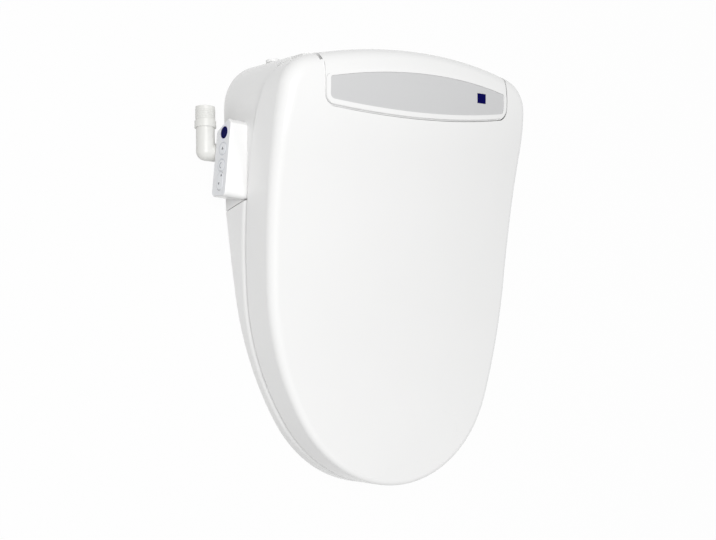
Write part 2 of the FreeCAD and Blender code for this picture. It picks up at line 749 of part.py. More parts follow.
def swing_room(grow):
    """Room behind and below the hinge axis that the lid's arms swing through."""
    y, z, radius = size("hinge_y"), size("hinge_z"), size("swing_radius") + grow
    half = size("half_span") + size("overrun")
    start = y - size("swing_start") - grow
    rear = 2 * size("rear_reach")
    drum = hinge_rod(radius, -half, half).common(band(-half, half, start, rear, 0, 2 * z))
    above = band(-half, half, start, rear, z, 2 * z)
    eye = hinge_rod(size("arm_eye_radius") + size("channel_clear") + grow, -half, half)
    swept = drum.fuse(above).common(open_lid_column(size("channel_clear") + grow))
    return outside_block(swept.fuse(eye))


def open_lid_column(gap):
    """Everything within the lid's outline, and this much beyond it, when the lid is open."""
    reach = 2 * size("column_top")
    form = column(closed(both_halves(lid_side(-gap))), -reach, reach)
    form.rotate(Vector(0, size("hinge_y"), size("hinge_z")), AXIS_X, -size("swing_open_deg"))
    return form


def arm_channels(grow):
    """Channels in the shoulders of the housing for the arms of the seat."""
    y, z, radius = size("hinge_y"), size("hinge_z"), size("arm_eye_radius")
    clear = size("channel_clear") + grow
    root, low = -size("arm_root_y"), size("arm_root_low")
    slope = (z - radius - low) / (y - root)
    front = root - size("overrun")
    high = 2 * z
    outline = [(front, low - size("overrun") * slope - clear), (y, z - radius - clear),
               (y, high), (front, high)]
    start = size("block_half") - grow
    end = arm_start() + size("arm_thickness") + clear
    channels = [side_plate(outline, *on_side(side, start, end)) for side in SIDES]
    return channels[0].fuse(channels[1])


def shoulder_form(inset):
    """Low part of the housing, under the arms of the seat and of the lid."""
    form = housing_column(inset)
    form = form.common(slab_below(parting_face(size("shoulder_drop") + inset, 0)))
    form = form.common(behind_seam(inset))
    return form.cut(swing_room(inset)).cut(arm_channels(inset))


def block_form(inset):
    """High middle part of the housing, which continues the roof and rear of the lid."""
    return hood_form(inset).common(lid_notch(-inset, size("housing_bottom")))


@functools.lru_cache(maxsize=None)
def housing_form(inset):
    """The whole housing as one solid form, or its hollow."""
    return shoulder_form(inset).fuse(block_form(inset))


def barrel_bosses():
    """Tubes inside the middle block that hold the hinge dampers."""
    wall = size("block_half") - size("housing_wall")
    bosses = []
    for side in SIDES:
        limits = on_side(side, wall - size("boss_length"), wall)
        tube = hinge_rod(size("barrel_radius") + size("boss_wall"), *limits)
        bosses.append(tube.cut(hinge_rod(size("barrel_radius"), *limits)))
    return bosses


def hinge_holes():
    """Holes in the walls of the middle block for the hinge shafts."""
    half = size("block_half") + size("overrun") / 4
    radius = size("shaft_radius") + size("eye_clear") / 2
    return hinge_rod(radius, -half, half)


def cover_hollow():
    """Hollow of the upper housing."""
    return housing_form(size("housing_wall"))


def rim_face_column(grow):
    """Upright solid over the outer outline of the rim."""
    inset = size("rim_inset") - grow
    face = pillow(size("block_half") - inset, inset - size("block_front"),
                  size("block_front_radius") - inset, size("rim_rear_y") + grow,
                  size("panel_rear_radius"), size("block_corner") - inset,
                  size("panel_corner"))
    return column(face, size("hinge_z"), 2 * size("column_top"))


def panel_face_column(grow):
    """Upright solid over the outline of the silver inlay."""
    inset = size("rim_inset") + size("rim_width") - grow
    face = pillow(size("block_half") - inset, inset - size("block_front"),
                  size("block_front_radius") - inset, size("panel_rear_y") + grow,
                  size("panel_rear_radius"), size("panel_corner") + grow,
                  size("panel_corner") / 2)
    return column(face, size("hinge_z"), 2 * size("column_top"))


def roof_layer(top_drop, bottom_drop, form):
    """Layer of a form between two lowered copies of the roof."""
    return form.common(slab_below(roof_face(top_drop))).cut(slab_below(roof_face(bottom_drop)))


def window_column(grow, low):
    """Upright square post at the small window."""
    half_x = size("window_width") / 2 + grow
    half_y = size("window_length") / 2 + grow
    x, y = size("window_x"), size("window_y")
    return band(x - half_x, x + half_x, y - half_y, y + half_y, low, size("column_top"))


def make_upper_housing():
    """Moulded cover with shoulders, middle block, hinge bosses and inlay recess."""
    split = size("split_height")
    shell = housing_form(0).cut(cover_hollow())
    for boss in barrel_bosses():
        shell = shell.fuse(boss)
    reach = 2 * size("half_span")
    shell = shell.common(band(-reach, reach, -reach, reach, split, reach))
    recess = roof_layer(-size("overrun"), size("rim_depth"), rim_face_column(size("fit_gap") / 2))
    shell = shell.cut(recess).cut(hinge_holes())
    shell = shell.cut(window_column(size("fit_gap"), size("hinge_z")))
    return keep("upper_housing", shell.fuse(display_posts()))


def make_inlay():
    """Rim, silver inlay and small window in the roof of the middle block."""
    proud, depth = size("rim_proud"), size("rim_depth")
    thick, sink = size("panel_thickness"), size("panel_sink")
    rim = roof_layer(-proud, depth, rim_face_column(0))
    pocket = roof_layer(-size("overrun"), sink + thick, panel_face_column(0))
    window = window_column(0, size("roof_brow") - size("window_depth"))
    rim = rim.cut(pocket).cut(window_column(size("fit_gap"), 0))
    keep("trim_rim", rim)
    panel = roof_layer(sink, sink + thick, panel_face_column(-size("fit_gap") / 2))
    keep("silver_panel", panel.cut(window_column(size("fit_gap") / 2, 0)))
    keep("status_window", window.common(slab_below(roof_face(sink - size("window_proud")))))


def tray_form():
    """Lower part of the housing up to the split."""
    reach = 2 * size("half_span")
    return housing_form(0).common(band(-reach, reach, -reach, reach, 0, size("split_height")))


def plate_room(grow):
    """Room under the tray for the mounting plate, open to the rear."""
    clear = size("plate_clear") + grow
    half = size("plate_half") + clear
    return band(-half, half, -size("plate_half_depth") - clear,
                2 * size("rear_reach"), -size("overrun"), size("plate_thickness") + clear)


def make_base_tray():
    """Tray under the housing with rooms for the plate, the filter and the nozzles."""
    wall = size("housing_wall")
    floor = size("housing_bottom") + wall
    reach = 2 * size("half_span")
    hollow = housing_form(wall).common(band(-reach, reach, -reach, reach, floor, reach))
    hollow = hollow.cut(plate_room(wall)).cut(filter_room(size("filter_wall")))
    tray = tray_form().cut(hollow).cut(plate_room(0)).cut(filter_room(0))
    tray = tray.fuse(screw_posts()).cut(screw_holes()).cut(shroud_form(size("fit_gap") / 2))
    return keep("base_tray", tray.cut(spigot_form(0)).cut(gland_form()).cut(plug_form()))


def screw_places():
    """Places of the four screws that join tray and cover."""
    corners = [(size("screw_front_x"), -size("screw_front_y")),
               (size("screw_back_x"), size("screw_back_y"))]
    return [(side * x, y) for x, y in corners for side in SIDES]


def screw_posts():
    """Posts inside the tray that the screws pass through."""
    low = size("housing_bottom")
    posts = [Part.makeCylinder(size("post_radius"), size("split_height") - low,
                               Vector(x, y, low)) for x, y in screw_places()]
    return Part.makeCompound(posts)


def screw_holes():
    """Stepped holes for the screws, open from below."""
    holes = []
    for x, y in screw_places():
        low = size("housing_bottom")
        hole = Part.makeCylinder(size("screw_radius"), size("split_height"), Vector(x, y, 0))
        head = Part.makeCylinder(size("screw_head_radius") + size("fit_gap"),
                                 low + size("screw_head_height"), Vector(x, y, 0))
        holes.append(hole.fuse(head))
    return Part.makeCompound(holes)


def make_screws():
    """Four screws under the tray."""
    screws = []
    for x, y in screw_places():
        place = upright(Vector(x, y, size("housing_bottom") + size("fit_gap")))
        head = drum("dims.screw_head_radius", "dims.screw_head_height - dims.fit_gap", place)
        screws.append(united(head, drum("dims.screw_radius", "dims.screw_length", place)))
    adopt("housing_screws", grouped(*screws))


def make_feet():
    """Four rubber feet under the tray."""
    feet = []
    for x, y in ((size("foot_x"), -size("foot_front_y")),
                 (size("foot_back_x"), size("foot_back_y"))):
        feet += [rubber_foot("foot_radius", "housing_bottom", Vector(side * x, y, 0))
                 for side in SIDES]
    adopt("housing_feet", grouped(*feet))


# Hinge hardware


def make_hinge_parts():
    """Dampers in the housing and the shafts that turn with the lid and with the seat."""
    wall = size("block_half") - size("housing_wall")
    start = wall - size("barrel_length")
    bore = "dims.shaft_radius + dims.running_clear"
    y, z = size("hinge_y"), size("hinge_z")
    for side, owner in zip(SIDES, ("lid", "seat")):
        body_x = min(on_side(side, start, wall))
        room_x = min(on_side(side, start + size("barrel_cap"), wall))
        body = drum("dims.barrel_radius", "dims.barrel_length", along_x(body_x, y, z))
        room = drum(bore, "dims.barrel_length - dims.barrel_cap", along_x(room_x, y, z))
        adopt(owner + "_damper", reduced(body, room))
    inner = start + size("barrel_cap") + size("rest_gap")
    key_start, arm = web_start(), arm_start()
    inside = "dims.arm_gap + dims.housing_wall + dims.barrel_length - dims.barrel_cap" \
             " - dims.rest_gap"
    key = shaft_key("dims.web_thickness", -key_start - size("web_thickness"))
    long_rule = inside + " + dims.arm_thickness + dims.web_gap"
    adopt("lid_shaft", united(drum("dims.shaft_radius", long_rule, along_x(-key_start, y, z)),
                              key))
    arm_end = arm + size("arm_thickness")
    adopt("seat_shaft", united(
        drum("dims.shaft_radius", inside, along_x(inner, y, z)),
        shaft_key("dims.arm_thickness", arm),
        drum("dims.shaft_radius", "dims.web_gap + dims.web_thickness",
             along_x(arm_end, y, z))))


def shaft_key(length, low_x):
    """Length of shaft with two flats, as an object of the document."""
    y, z = size("hinge_y"), size("hinge_z")
    flats = brick(length, "2 * dims.shaft_half_flat", "2 * dims.shaft_radius",
                  Vector(low_x, y - size("shaft_half_flat"), z - size("shaft_radius")))
    return shared(drum("dims.shaft_radius", length, along_x(low_x, y, z)), flats)


# Mounting plate


def plate_slots(width, length, low, height):
    """Two upright slots along X at the bolts, as one object; the sizes are rules."""
    slots = []
    straight = (sheet_value(length) - sheet_value(width)) / 2
    half = sheet_value(width) / 2
    for side in SIDES:
        x = side * size("bolt_spacing") / 2
        slots.append(brick("%s - (%s)" % (length, width), width, height,
                           Vector(x - straight, -half, low)))
        slots += [drum("(%s) / 2" % width, height, upright(Vector(x + end * straight, 0, low)))
                  for end in SIDES]
    return united(*slots)


def sheet_value(rule):
    """Value of a sum of cells."""
    total, sign = 0.0, 1.0
    for word in rule.split():
        if word in "+-":
            sign = 1.0 if word == "+" else -1.0
        else:
            total += sign * size(word.replace("dims.", ""))
    return total


def make_mounting_plate():
    """Plate that is bolted to the bowl and that the seat slides onto."""
    half, depth, high = size("plate_half"), size("plate_half_depth"), size("plate_thickness")
    slab = brick("2 * dims.plate_half", "2 * dims.plate_half_depth", "dims.plate_thickness",
                 Vector(-half, -depth, 0))
    plate = softened("Fillet", slab, size("plate_corner"),
                     lambda edge: edge.BoundBox.ZLength > high / 2)
    through = plate_slots("dims.slot_width", "dims.slot_length", 0, "dims.plate_thickness")
    wider = "dims.slot_length + dims.counter_width - dims.slot_width"
    sunk = plate_slots("dims.counter_width", wider, high - size("counter_depth"),
                       "dims.counter_depth")
    adopt("mounting_plate", reduced(reduced(plate, through), sunk))


# Control box on the side


def box_frame():
    """Placement whose X points into the housing and whose Y runs back along the keys."""
    turn = Rotation(AXIS_Z, -size("box_turn_deg")).multiply(
        Rotation(AXIS_X, size("box_tilt_deg")))
    return Placement(Vector(-size("box_x"), -size("box_y"), size("box_z")), turn)


def box_outline(inset, low_x, high_x):
    """Side outline of the control box, as a plate across its own X."""
    half = size("box_half_height") - inset
    front = -size("box_front") + inset
    rear_low, rear_tip = size("box_rear_low") - inset, size("box_rear_tip") - inset
    rear_top, tip_height = size("box_rear_top") - inset, size("box_tip_height")
    plate = side_plate([(front, -half), (rear_low, -half), (rear_tip, tip_height),
                        (rear_top, half), (front, half)], low_x, high_x)
    ends = [edge for edge in plate.Edges if edge.BoundBox.XLength > (high_x - low_x) / 2]
    front_ends = [edge for edge in ends if edge.BoundBox.YMax < 0]
    rear_ends = [edge for edge in ends if edge.BoundBox.YMax > 0]
    plate = plate.makeFillet(size("box_corner") - inset, front_ends)
    rear_ends = [edge for edge in plate.Edges if edge.BoundBox.XLength > (high_x - low_x) / 2
                 and edge.BoundBox.YMin > size("box_rear_low") / 2]
    return plate.makeFillet(size("box_edge") - inset / 2, rear_ends)


def to_box_frame(shape):
    """Copy of a shape, moved from the seat's frame into the box's own."""
    moved = shape.copy()
    moved.Placement = box_frame().inverse().multiply(moved.Placement)
    return moved


def key_row():
    """The round keys along the box, with the cells of their places and radii."""
    return [("power_button", "power_s", "power_radius"), ("up_button", "up_s", "key_radius"),
            ("stop_button", "stop_s", "key_radius")]


def box_row():
    """Places of the round keys along the box, with their radii and names."""
    return [(name, size(place), size(radius)) for name, place, radius in key_row()]


def rocker_form(grow, low_x, high_x):
    """Long key with round ends, as a plate across X."""
    half = size("rocker_half_length") - size("rocker_half_width")
    radius = size("rocker_half_width") + grow
    s, rise = size("rocker_s"), size("key_rise")
    form = band(low_x, high_x, s - half, s + half, rise - radius, rise + radius)
    for end in SIDES:
        form = form.fuse(rod(radius, low_x, high_x, s + end * half, rise))
    return form


def key_holes(low_x, high_x):
    """Holes for all the keys through the face of the box."""
    rise = size("key_rise")
    holes = [rod(radius + size("key_gap"), low_x, high_x, s, rise) for _, s, radius in box_row()]
    holes.append(rocker_form(size("rocker_gap"), low_x, high_x))
    return holes


def make_control_box():
    """Hollow box on the side of the housing, open towards it."""
    wall, depth = size("box_wall"), size("box_depth")
    box = box_outline(0, 0, depth)
    face_edges = [edge for edge in box.Edges if edge.BoundBox.XMax < wall / 2]
    box = box.makeFillet(size("box_edge") / 2, face_edges)
    box = box.cut(box_outline(wall, wall, depth + wall))
    label = box_outline(size("label_inset"), -wall, size("label_thickness"))
    box = box.cut(label)
    for hole in key_holes(-wall, 2 * wall):
        box = box.cut(hole)
    box = box.cut(to_box_frame(housing_form(0)))
    box = box.cut(to_box_frame(seat_column(-size("seam_gap"), -size("overrun"))))
    solid = max(box.Solids, key=lambda part: part.Volume)
    keep("control_box", solid, box_frame())


def make_label():
    """Grey label sheet on the outer face of the box."""
    sheet_form = box_outline(size("label_inset") + size("fit_gap") / 2, 0,
                             size("label_thickness"))
    for hole in key_holes(-size("box_wall"), size("box_wall")):
        sheet_form = sheet_form.cut(hole)
    keep("control_label", sheet_form, box_frame())



def key_body(name, place, radius):
    """Round key with a softened edge and a collar that keeps it in the box."""
    body = doc.addObject("PartDesign::Body", name)
    sketch = round_sketch(body, place, "dims." + radius, -size("key_proud"))
    pad = padded(body, sketch, "dims.key_length")
    face = min(pad.Shape.Edges, key=lambda edge: edge.BoundBox.XMax)
    number = 1 + [edge.hashCode() for edge in pad.Shape.Edges].index(face.hashCode())
    soft = body.newObject("PartDesign::Chamfer", "softened")
    soft.Base = (pad, ["Edge%d" % number])
    soft.setExpression("Size", "dims.key_proud")
    doc.recompute()
    start = size("box_wall") + size("fit_gap")
    collar = round_sketch(body, place, "dims.%s + dims.key_flange" % radius, start)
    padded(body, collar, "dims.key_flange")
    body.Placement = box_frame()
    adopt(name, body)


def round_sketch(body, place, radius, offset):
    """Sketch of a circle on the box's own side plane, moved along the plane's normal."""
    sketch = side_sketch(body, offset)
    centre = Vector(size(place), size("key_rise"), 0)
    sketch.addGeometry(Part.Circle(centre, AXIS_Z, size("key_radius")), False)
    sketch.addConstraint(Sketcher.Constraint("Radius", 0, size("key_radius")))
    sketch.addConstraint(Sketcher.Constraint("DistanceX", -1, 1, 0, 3, size(place)))
    sketch.addConstraint(Sketcher.Constraint("DistanceY", -1, 1, 0, 3, size("key_rise")))
    for number, rule in enumerate((radius, "dims." + place, "dims.key_rise")):
        sketch.setExpression("Constraints[%d]" % number, rule)
    return sketch


def side_sketch(body, offset):
    """Empty sketch on a body's YZ plane, moved along X."""
    sketch = body.newObject("Sketcher::SketchObject", "outline")
    plane = [item for item in body.Origin.OriginFeatures if item.Role == "YZ_Plane"][0]
    sketch.AttachmentSupport = [(plane, "")]
    sketch.MapMode = "FlatFace"
    sketch.AttachmentOffset = Placement(Vector(0, 0, offset), Rotation())
    return sketch


def padded(body, sketch, length):
    """Adds a pad of a sketch to a body."""
    doc.recompute()
    pad = body.newObject("PartDesign::Pad", "pad")
    pad.Profile = sketch
    pad.setExpression("Length", length)
    doc.recompute()
    return pad


def pin_x():
    """Depth of the rocker's pin behind the face."""
    return size("box_wall") + size("rocker_pin") + size("fit_gap") * 2


def rocker_pin_form(grow):
    """Upright pin that the rocker tilts on, grown for its bore."""
    half = size("rocker_half_width") + size("lug_width")
    return Part.makeCylinder(size("rocker_pin") + grow, 2 * half,
                             Vector(pin_x(), size("rocker_s"), size("key_rise") - half))


def make_keys():
    """The three round keys, the rocker and its pin."""
    for name, place, radius in key_row():
        key_body(name, place, radius)
    start, length = -size("key_proud"), size("key_length")
    rocker = rocker_form(0, start, start + length)
    edges = [edge for edge in rocker.Edges if edge.BoundBox.XMax < start + length / 4]
    rocker = rocker.makeChamfer(size("key_proud"), edges)
    keep("adjust_rocker", rocker.cut(rocker_pin_form(size("running_clear"))), box_frame())
    half = size("rocker_half_width") + size("lug_width")
    foot = Vector(pin_x(), size("rocker_s"), size("key_rise") - half)
    adopt("rocker_pin", drum("dims.rocker_pin", "2 * (dims.rocker_half_width + dims.lug_width)",
                             box_frame().multiply(upright(foot))))


def make_button_board():
    """Small circuit board behind the keys, with one switch for each press."""
    wall, rise = size("box_wall"), size("key_rise")
    face = size("key_length") - size("key_proud") + size("key_travel")
    side = size("switch_side")
    board_x = face + size("switch_height")
    board = box_outline(wall, board_x, board_x + size("board_thickness"))
    places = [s for _, s, _ in box_row()]
    reach = size("rocker_half_length") - size("rocker_half_width")
    places += [size("rocker_s") - reach, size("rocker_s") + reach]
    for s in places:
        board = board.fuse(band(face, board_x, s - side / 2, s + side / 2,
                                rise - side / 2, rise + side / 2))
    for end in SIDES:
        near = rise + end * (size("rocker_half_width") + size("fit_gap"))
        far = rise + end * (size("rocker_half_width") + size("lug_width"))
        lug = band(pin_x() - size("lug_width") / 2, board_x, size("rocker_s") - size("lug_width"),
                   size("rocker_s") + size("lug_width"), min(near, far), max(near, far))
        board = board.fuse(lug)
    keep("button_board", board.cut(rocker_pin_form(0)), box_frame())


# Water inlet


def inlet_frame():
    """Placement at the side wall: X points outwards and -Y runs to the rear."""
    lean = math.tan(math.radians(size("wall_turn_deg")))
    wall_x = size("front_half") - (size("seat_rear") - size("inlet_y")) * lean
    turn = Rotation(AXIS_Z, 2 * RIGHT_ANGLE_DEG - size("wall_turn_deg"))
    return Placement(Vector(-wall_x, -size("inlet_y"), size("inlet_z")), turn)


def leg(radius, low_x, high_x):
    """Round bar on the axis that the elbow swivels about."""
    return rod(radius, low_x, high_x, 0, 0)


def spout(radius, low, high):
    """Round bar along the spout of the elbow, towards the rear."""
    return Part.makeCylinder(radius, high - low, Vector(size("inlet_out"), -low, 0),
                             AXIS_Y * -1)


def spigot_form(grow):
    """Inlet spigot without its bore: a tube in the wall, a flange and a nipple."""
    inner, flange = -size("spigot_length"), size("spigot_flange")
    form = leg(size("spigot_radius") + grow, inner, flange)
    form = form.fuse(leg(size("inlet_radius"), 0, flange))
    form = form.fuse(leg(size("nipple_radius"), flange, size("nipple_end")))
    form.Placement = inlet_frame()
    return form


def make_inlet():
    """Spigot in the wall, swivelling elbow and the strainer in its end."""
    adopt("inlet_spigot", reduced(
        united(leg_drum("dims.spigot_radius", "dims.spigot_length + dims.spigot_flange",
                        -size("spigot_length")),
               leg_drum("dims.inlet_radius", "dims.spigot_flange", 0),
               leg_drum("dims.nipple_radius", "dims.nipple_end - dims.spigot_flange",
                        size("spigot_flange"))),
        leg_drum("dims.nipple_bore", "dims.spigot_length + dims.nipple_end",
                 -size("spigot_length"))))
    radius, out = size("inlet_radius"), size("inlet_out")
    start = size("spigot_flange") + size("rest_gap")
    body = leg(radius, start, out).fuse(Part.makeSphere(radius, Vector(out, 0, 0)))
    body = body.fuse(spout(radius, 0, size("collar_at")))
    body = body.fuse(spout(size("collar_radius"), size("collar_at"),
                           size("collar_at") + size("collar_width")))
    body = body.fuse(spout(size("thread_radius"), size("collar_at"), size("spout_end")))
    bore = leg(size("nipple_radius") + size("running_clear"), 0,
               size("nipple_end") + size("rest_gap"))
    bore = bore.fuse(leg(size("nipple_bore"), 0, out))
    bore = bore.fuse(spout(size("nipple_bore"), 0, size("spout_end")))
    end = size("spout_end")
    seat_end = end - size("strainer_length")
    bore = bore.fuse(spout(size("inlet_bore"), seat_end, 2 * end))
    keep("inlet_elbow", body.cut(bore), inlet_frame())
    adopt("inlet_strainer", reduced(
        spout_drum("dims.inlet_bore", "dims.strainer_length", seat_end),
        spout_drum("dims.inlet_bore - dims.strainer_wall", "dims.strainer_length",
                   seat_end + size("strainer_wall"))))


def leg_drum(radius, length, start):
    """Round object on the axis that the elbow swivels about."""
    return drum(radius, length, inlet_frame().multiply(along_x(start, 0, 0)))


def spout_drum(radius, length, start):
    """Round object along the spout of the elbow, towards the rear."""
    turn = Rotation(AXIS_X, RIGHT_ANGLE_DEG)
    place = Placement(Vector(size("inlet_out"), -start, 0), turn)
    return drum(radius, length, inlet_frame().multiply(place))


# Nozzles


def nozzle_frame(side):
    """Placement at a nozzle's tip, whose X runs up and back along the nozzle."""
    turn = Rotation(AXIS_Z, RIGHT_ANGLE_DEG).multiply(Rotation(AXIS_Y,
                                                               -size("nozzle_tilt_deg")))
    return Placement(Vector(side * size("nozzle_spacing") / 2, -size("nozzle_tip_y"),
                            size("nozzle_tip_z")), turn)


def nozzle_rod(side, radius, low, high):
    """Round bar along a nozzle."""
    bar = rod(radius, low, high, 0, 0)
    bar.Placement = nozzle_frame(side)
    return bar


def make_nozzles():
    """Two nozzles that slide out, the shroud that they pass and their cylinders."""
    radius, length = size("nozzle_radius"), size("nozzle_length")
    for side, name in zip(SIDES, ("rear_wash_nozzle", "front_wash_nozzle")):
        adopt(name, wash_nozzle(nozzle_frame(side)))
    bore = radius + size("nozzle_clear")
    outer = bore + size("cylinder_wall")
    start, end = size("cylinder_start"), length + size("cylinder_cap")
    block = nozzle_rod(SIDES[0], outer, start, end).fuse(nozzle_rod(SIDES[1], outer, start, end))
    half = size("nozzle_spacing") / 2
    bridge = band(length + size("rest_gap"), end, -half, half, -outer / 2, outer / 2)
    bridge.Placement = nozzle_frame(0)
    block = block.fuse(bridge)
    foot = band(-half, half, size("saddle_front"), size("saddle_rear"), tray_floor(),
                size("split_height"))
    block = block.fuse(foot.cut(nozzle_rod(SIDES[0], outer, 0, end)).cut(
        nozzle_rod(SIDES[1], outer, 0, end)))
    for side in SIDES:
        block = block.cut(nozzle_rod(side, bore, 0, length + size("rest_gap")))
    keep("nozzle_cylinders", block)
    shroud = shroud_form(0)
    for side in SIDES:
        shroud = shroud.cut(nozzle_rod(side, bore, -length, length))
    keep("nozzle_shroud", shroud)


def wash_nozzle(frame):
    """Tube with a chamfered tip, an upward spray hole and its bore."""
    tube = drum("dims.nozzle_radius", "dims.nozzle_length",
                frame.multiply(along_x(0, 0, 0)))
    tube.recompute()
    tip = frame.multVec(Vector(0, 0, 0))
    reach = size("nozzle_radius") / 2
    tube = softened("Chamfer", tube, size("nozzle_radius") / 3,
                    lambda edge: edge.Closed and edge.CenterOfMass.sub(tip).Length < reach)
    bore = drum("dims.nozzle_bore", "dims.nozzle_length",
                frame.multiply(along_x(size("nozzle_head") / 2, 0, 0)))
    jet = drum("dims.spray_hole", "dims.nozzle_radius + dims.fit_gap",
               frame.multiply(upright(Vector(size("nozzle_head"), 0, 0))))
    return reduced(reduced(tube, bore), jet)


def shroud_form(grow):
    """Frame in the front wall that the nozzles pass through."""
    half, rear = size("shroud_half") + grow, size("rear_reach")
    form = band(-half, half, -2 * size("seat_rear"), rear, size("shroud_low") - grow,
                size("shroud_high") + grow)
    return form.common(behind_seam(-size("shroud_proud"))).cut(
        behind_seam(size("shroud_length")))


# Pieces inside the housing


def tray_floor():
    """Height of the tray's floor inside."""
    return size("housing_bottom") + size("housing_wall")


def shelf_height():
    """Height of the tray's raised floor over the mounting plate."""
    return size("plate_thickness") + size("plate_clear") + size("housing_wall")


def filter_room(grow):
    """Slot for the filter cartridge, open at the right side wall."""
    clear = size("filter_clear") + grow
    outer = 2 * size("half_span")
    inner = filter_outer() - size("filter_length") - clear
    y, half, low = -size("filter_y"), size("filter_width") / 2 + clear, size("filter_low")
    return band(inner, outer, y - half, y + half, low - clear,
                low + size("filter_height") + clear)


def filter_outer():
    """Where the filter's front face lies, a little inside the side wall."""
    lean = math.tan(math.radians(size("wall_turn_deg")))
    return size("front_half") - (size("seat_rear") - size("filter_y")) * lean


def make_filter():
    """Deodorising filter cartridge with a finger grip, flush with the side wall."""
    y, half = -size("filter_y"), size("filter_width") / 2
    low, high = size("filter_low"), size("filter_low") + size("filter_height")
    inner = filter_outer() - size("filter_length")
    box = band(inner, 2 * size("half_span"), y - half, y + half, low, high)
    box = box.common(housing_column(0))
    wall = size("filter_wall")
    vent = band(inner + wall, filter_outer() - 4 * wall, y - half + wall, y + half - wall,
                low + wall, 2 * high)
    grip = band(filter_outer() - 2 * wall, 2 * size("half_span"), y - half / 2, y + half / 2,
                low + size("filter_height") / 4, high - size("filter_height") / 2)
    keep("filter_cartridge", box.cut(vent).cut(grip))
    media = band(inner + wall, filter_outer() - 4 * wall, y - half + wall, y + half - wall,
                 low + wall, high - wall)
    keep("filter_media", media)


def make_tank():
    """Water heating tank on the shelf."""
    high, edge = size("tank_height"), size("tank_edge")
    box = band(-size("tank_x"), -size("tank_x") + size("tank_length"), -size("tank_front"),
               size("tank_depth") - size("tank_front"), shelf_height(), shelf_height() + high)
    ends = [edge_line for edge_line in box.Edges if edge_line.BoundBox.ZLength > high / 2]
    box = box.makeFillet(edge, ends)
    keep("heater_tank", box)
    outlet = Vector(-size("tank_x") + size("tank_length"), 0, 0)
    cap = nozzle_frame(0).multVec(Vector(size("nozzle_length") + size("cylinder_cap") / 2, 0, 0))
    half = size("nozzle_spacing") / 2
    pipe = rod(size("hose_radius") / 2, outlet.x, -half, cap.y, cap.z)
    keep("outlet_pipe", pipe.cut(nozzle_rod(SIDES[0], size("nozzle_radius") + size("nozzle_clear")
                                            + size("cylinder_wall"), 0, 2 * half
                                            + size("nozzle_length"))))


def blower_ring(radius, low, high):
    """Upright drum at the blower."""
    return Part.makeCylinder(radius, high - low, Vector(size("blower_x"), size("blower_y"), low))


def make_blower():
    """Drying fan: its housing, the motor on top and the bladed wheel inside."""
    low, wall = shelf_height(), size("blower_wall")
    high = low + size("blower_height")
    radius = size("blower_radius")
    x, y = size("blower_x"), size("blower_y")
    outlet = band(x - radius, x - radius / 3, y - 2 * radius, y, low, high)
    room = band(x - radius + wall, x - radius / 3 - wall, y - 3 * radius, y, low + wall,
                high - wall)
    case = blower_ring(radius, low, high).fuse(outlet)
    case = case.cut(blower_ring(radius - wall, low + wall, high - wall)).cut(room)
    case = case.cut(blower_ring(size("fan_shaft") + size("running_clear"), high - 2 * wall,
                                high + wall))
    keep("blower_housing", case)
    shaft = blower_ring(size("fan_shaft"), low + size("fan_hub"), high + wall)
    motor = blower_ring(size("motor_radius"), high, high + size("motor_height"))
    shaft_room = blower_ring(size("fan_shaft") + size("running_clear"), high,
                             high + wall + size("rest_gap"))
    keep("fan_motor", motor.cut(shaft_room))
    keep("fan_impeller", fan_wheel(low + wall + size("fan_clear")).fuse(shaft))


def fan_wheel(low):
    """Wheel with upright blades round a hub."""
    radius, blade, high = size("fan_radius"), size("fan_blade"), low + size("fan_height")
    wheel = blower_ring(radius, low, low + blade).fuse(blower_ring(size("fan_hub"), low, high))
    x, y = size("blower_x"), size("blower_y")
    count = int(size("fan_blades"))
    for index in range(count):
        vane = band(x + size("fan_hub") - blade, x + radius, y - blade / 2, y + blade / 2, low,
                    high)
        vane.rotate(Vector(x, y, low), AXIS_Z, 4 * RIGHT_ANGLE_DEG * index / count)
        wheel = wheel.fuse(vane)
    return wheel


def make_boards():
    """Main circuit board at the rear and the small one under the window."""
    x, y, thick = size("board_x"), size("board_y"), size("board_thickness")
    low, high = shelf_height(), shelf_height() + size("board_height")
    board = band(-x, x, y, y + thick, low, high)
    tall = size("part_height")
    for index in range(-2, 3):
        centre = index * x / 3
        board = board.fuse(band(centre - x / 10, centre + x / 10, y - tall, y,
                                low + tall, (low + high) / 2))
    keep("control_board", board)
    half = size("display_half")
    top = size("roof_brow") - size("window_depth")
    small = band(size("window_x") - 2 * half, size("window_x") + 2 * half,
                 size("window_y") - half, size("window_y") + half, top - thick, top)
    keep("display_board", small)


def display_posts():
    """Posts under the roof that hold the small board."""
    half = size("display_half")
    top = size("roof_brow") - size("window_depth")
    posts = [Part.makeCylinder(size("screw_radius"), size("column_top"), Vector(
        size("window_x") + side * (2 * half - size("screw_radius")), size("window_y"), top))
        for side in SIDES]
    under = slab_below(roof_face(size("rim_depth") + size("fit_gap")))
    return Part.makeCompound(posts).common(under)


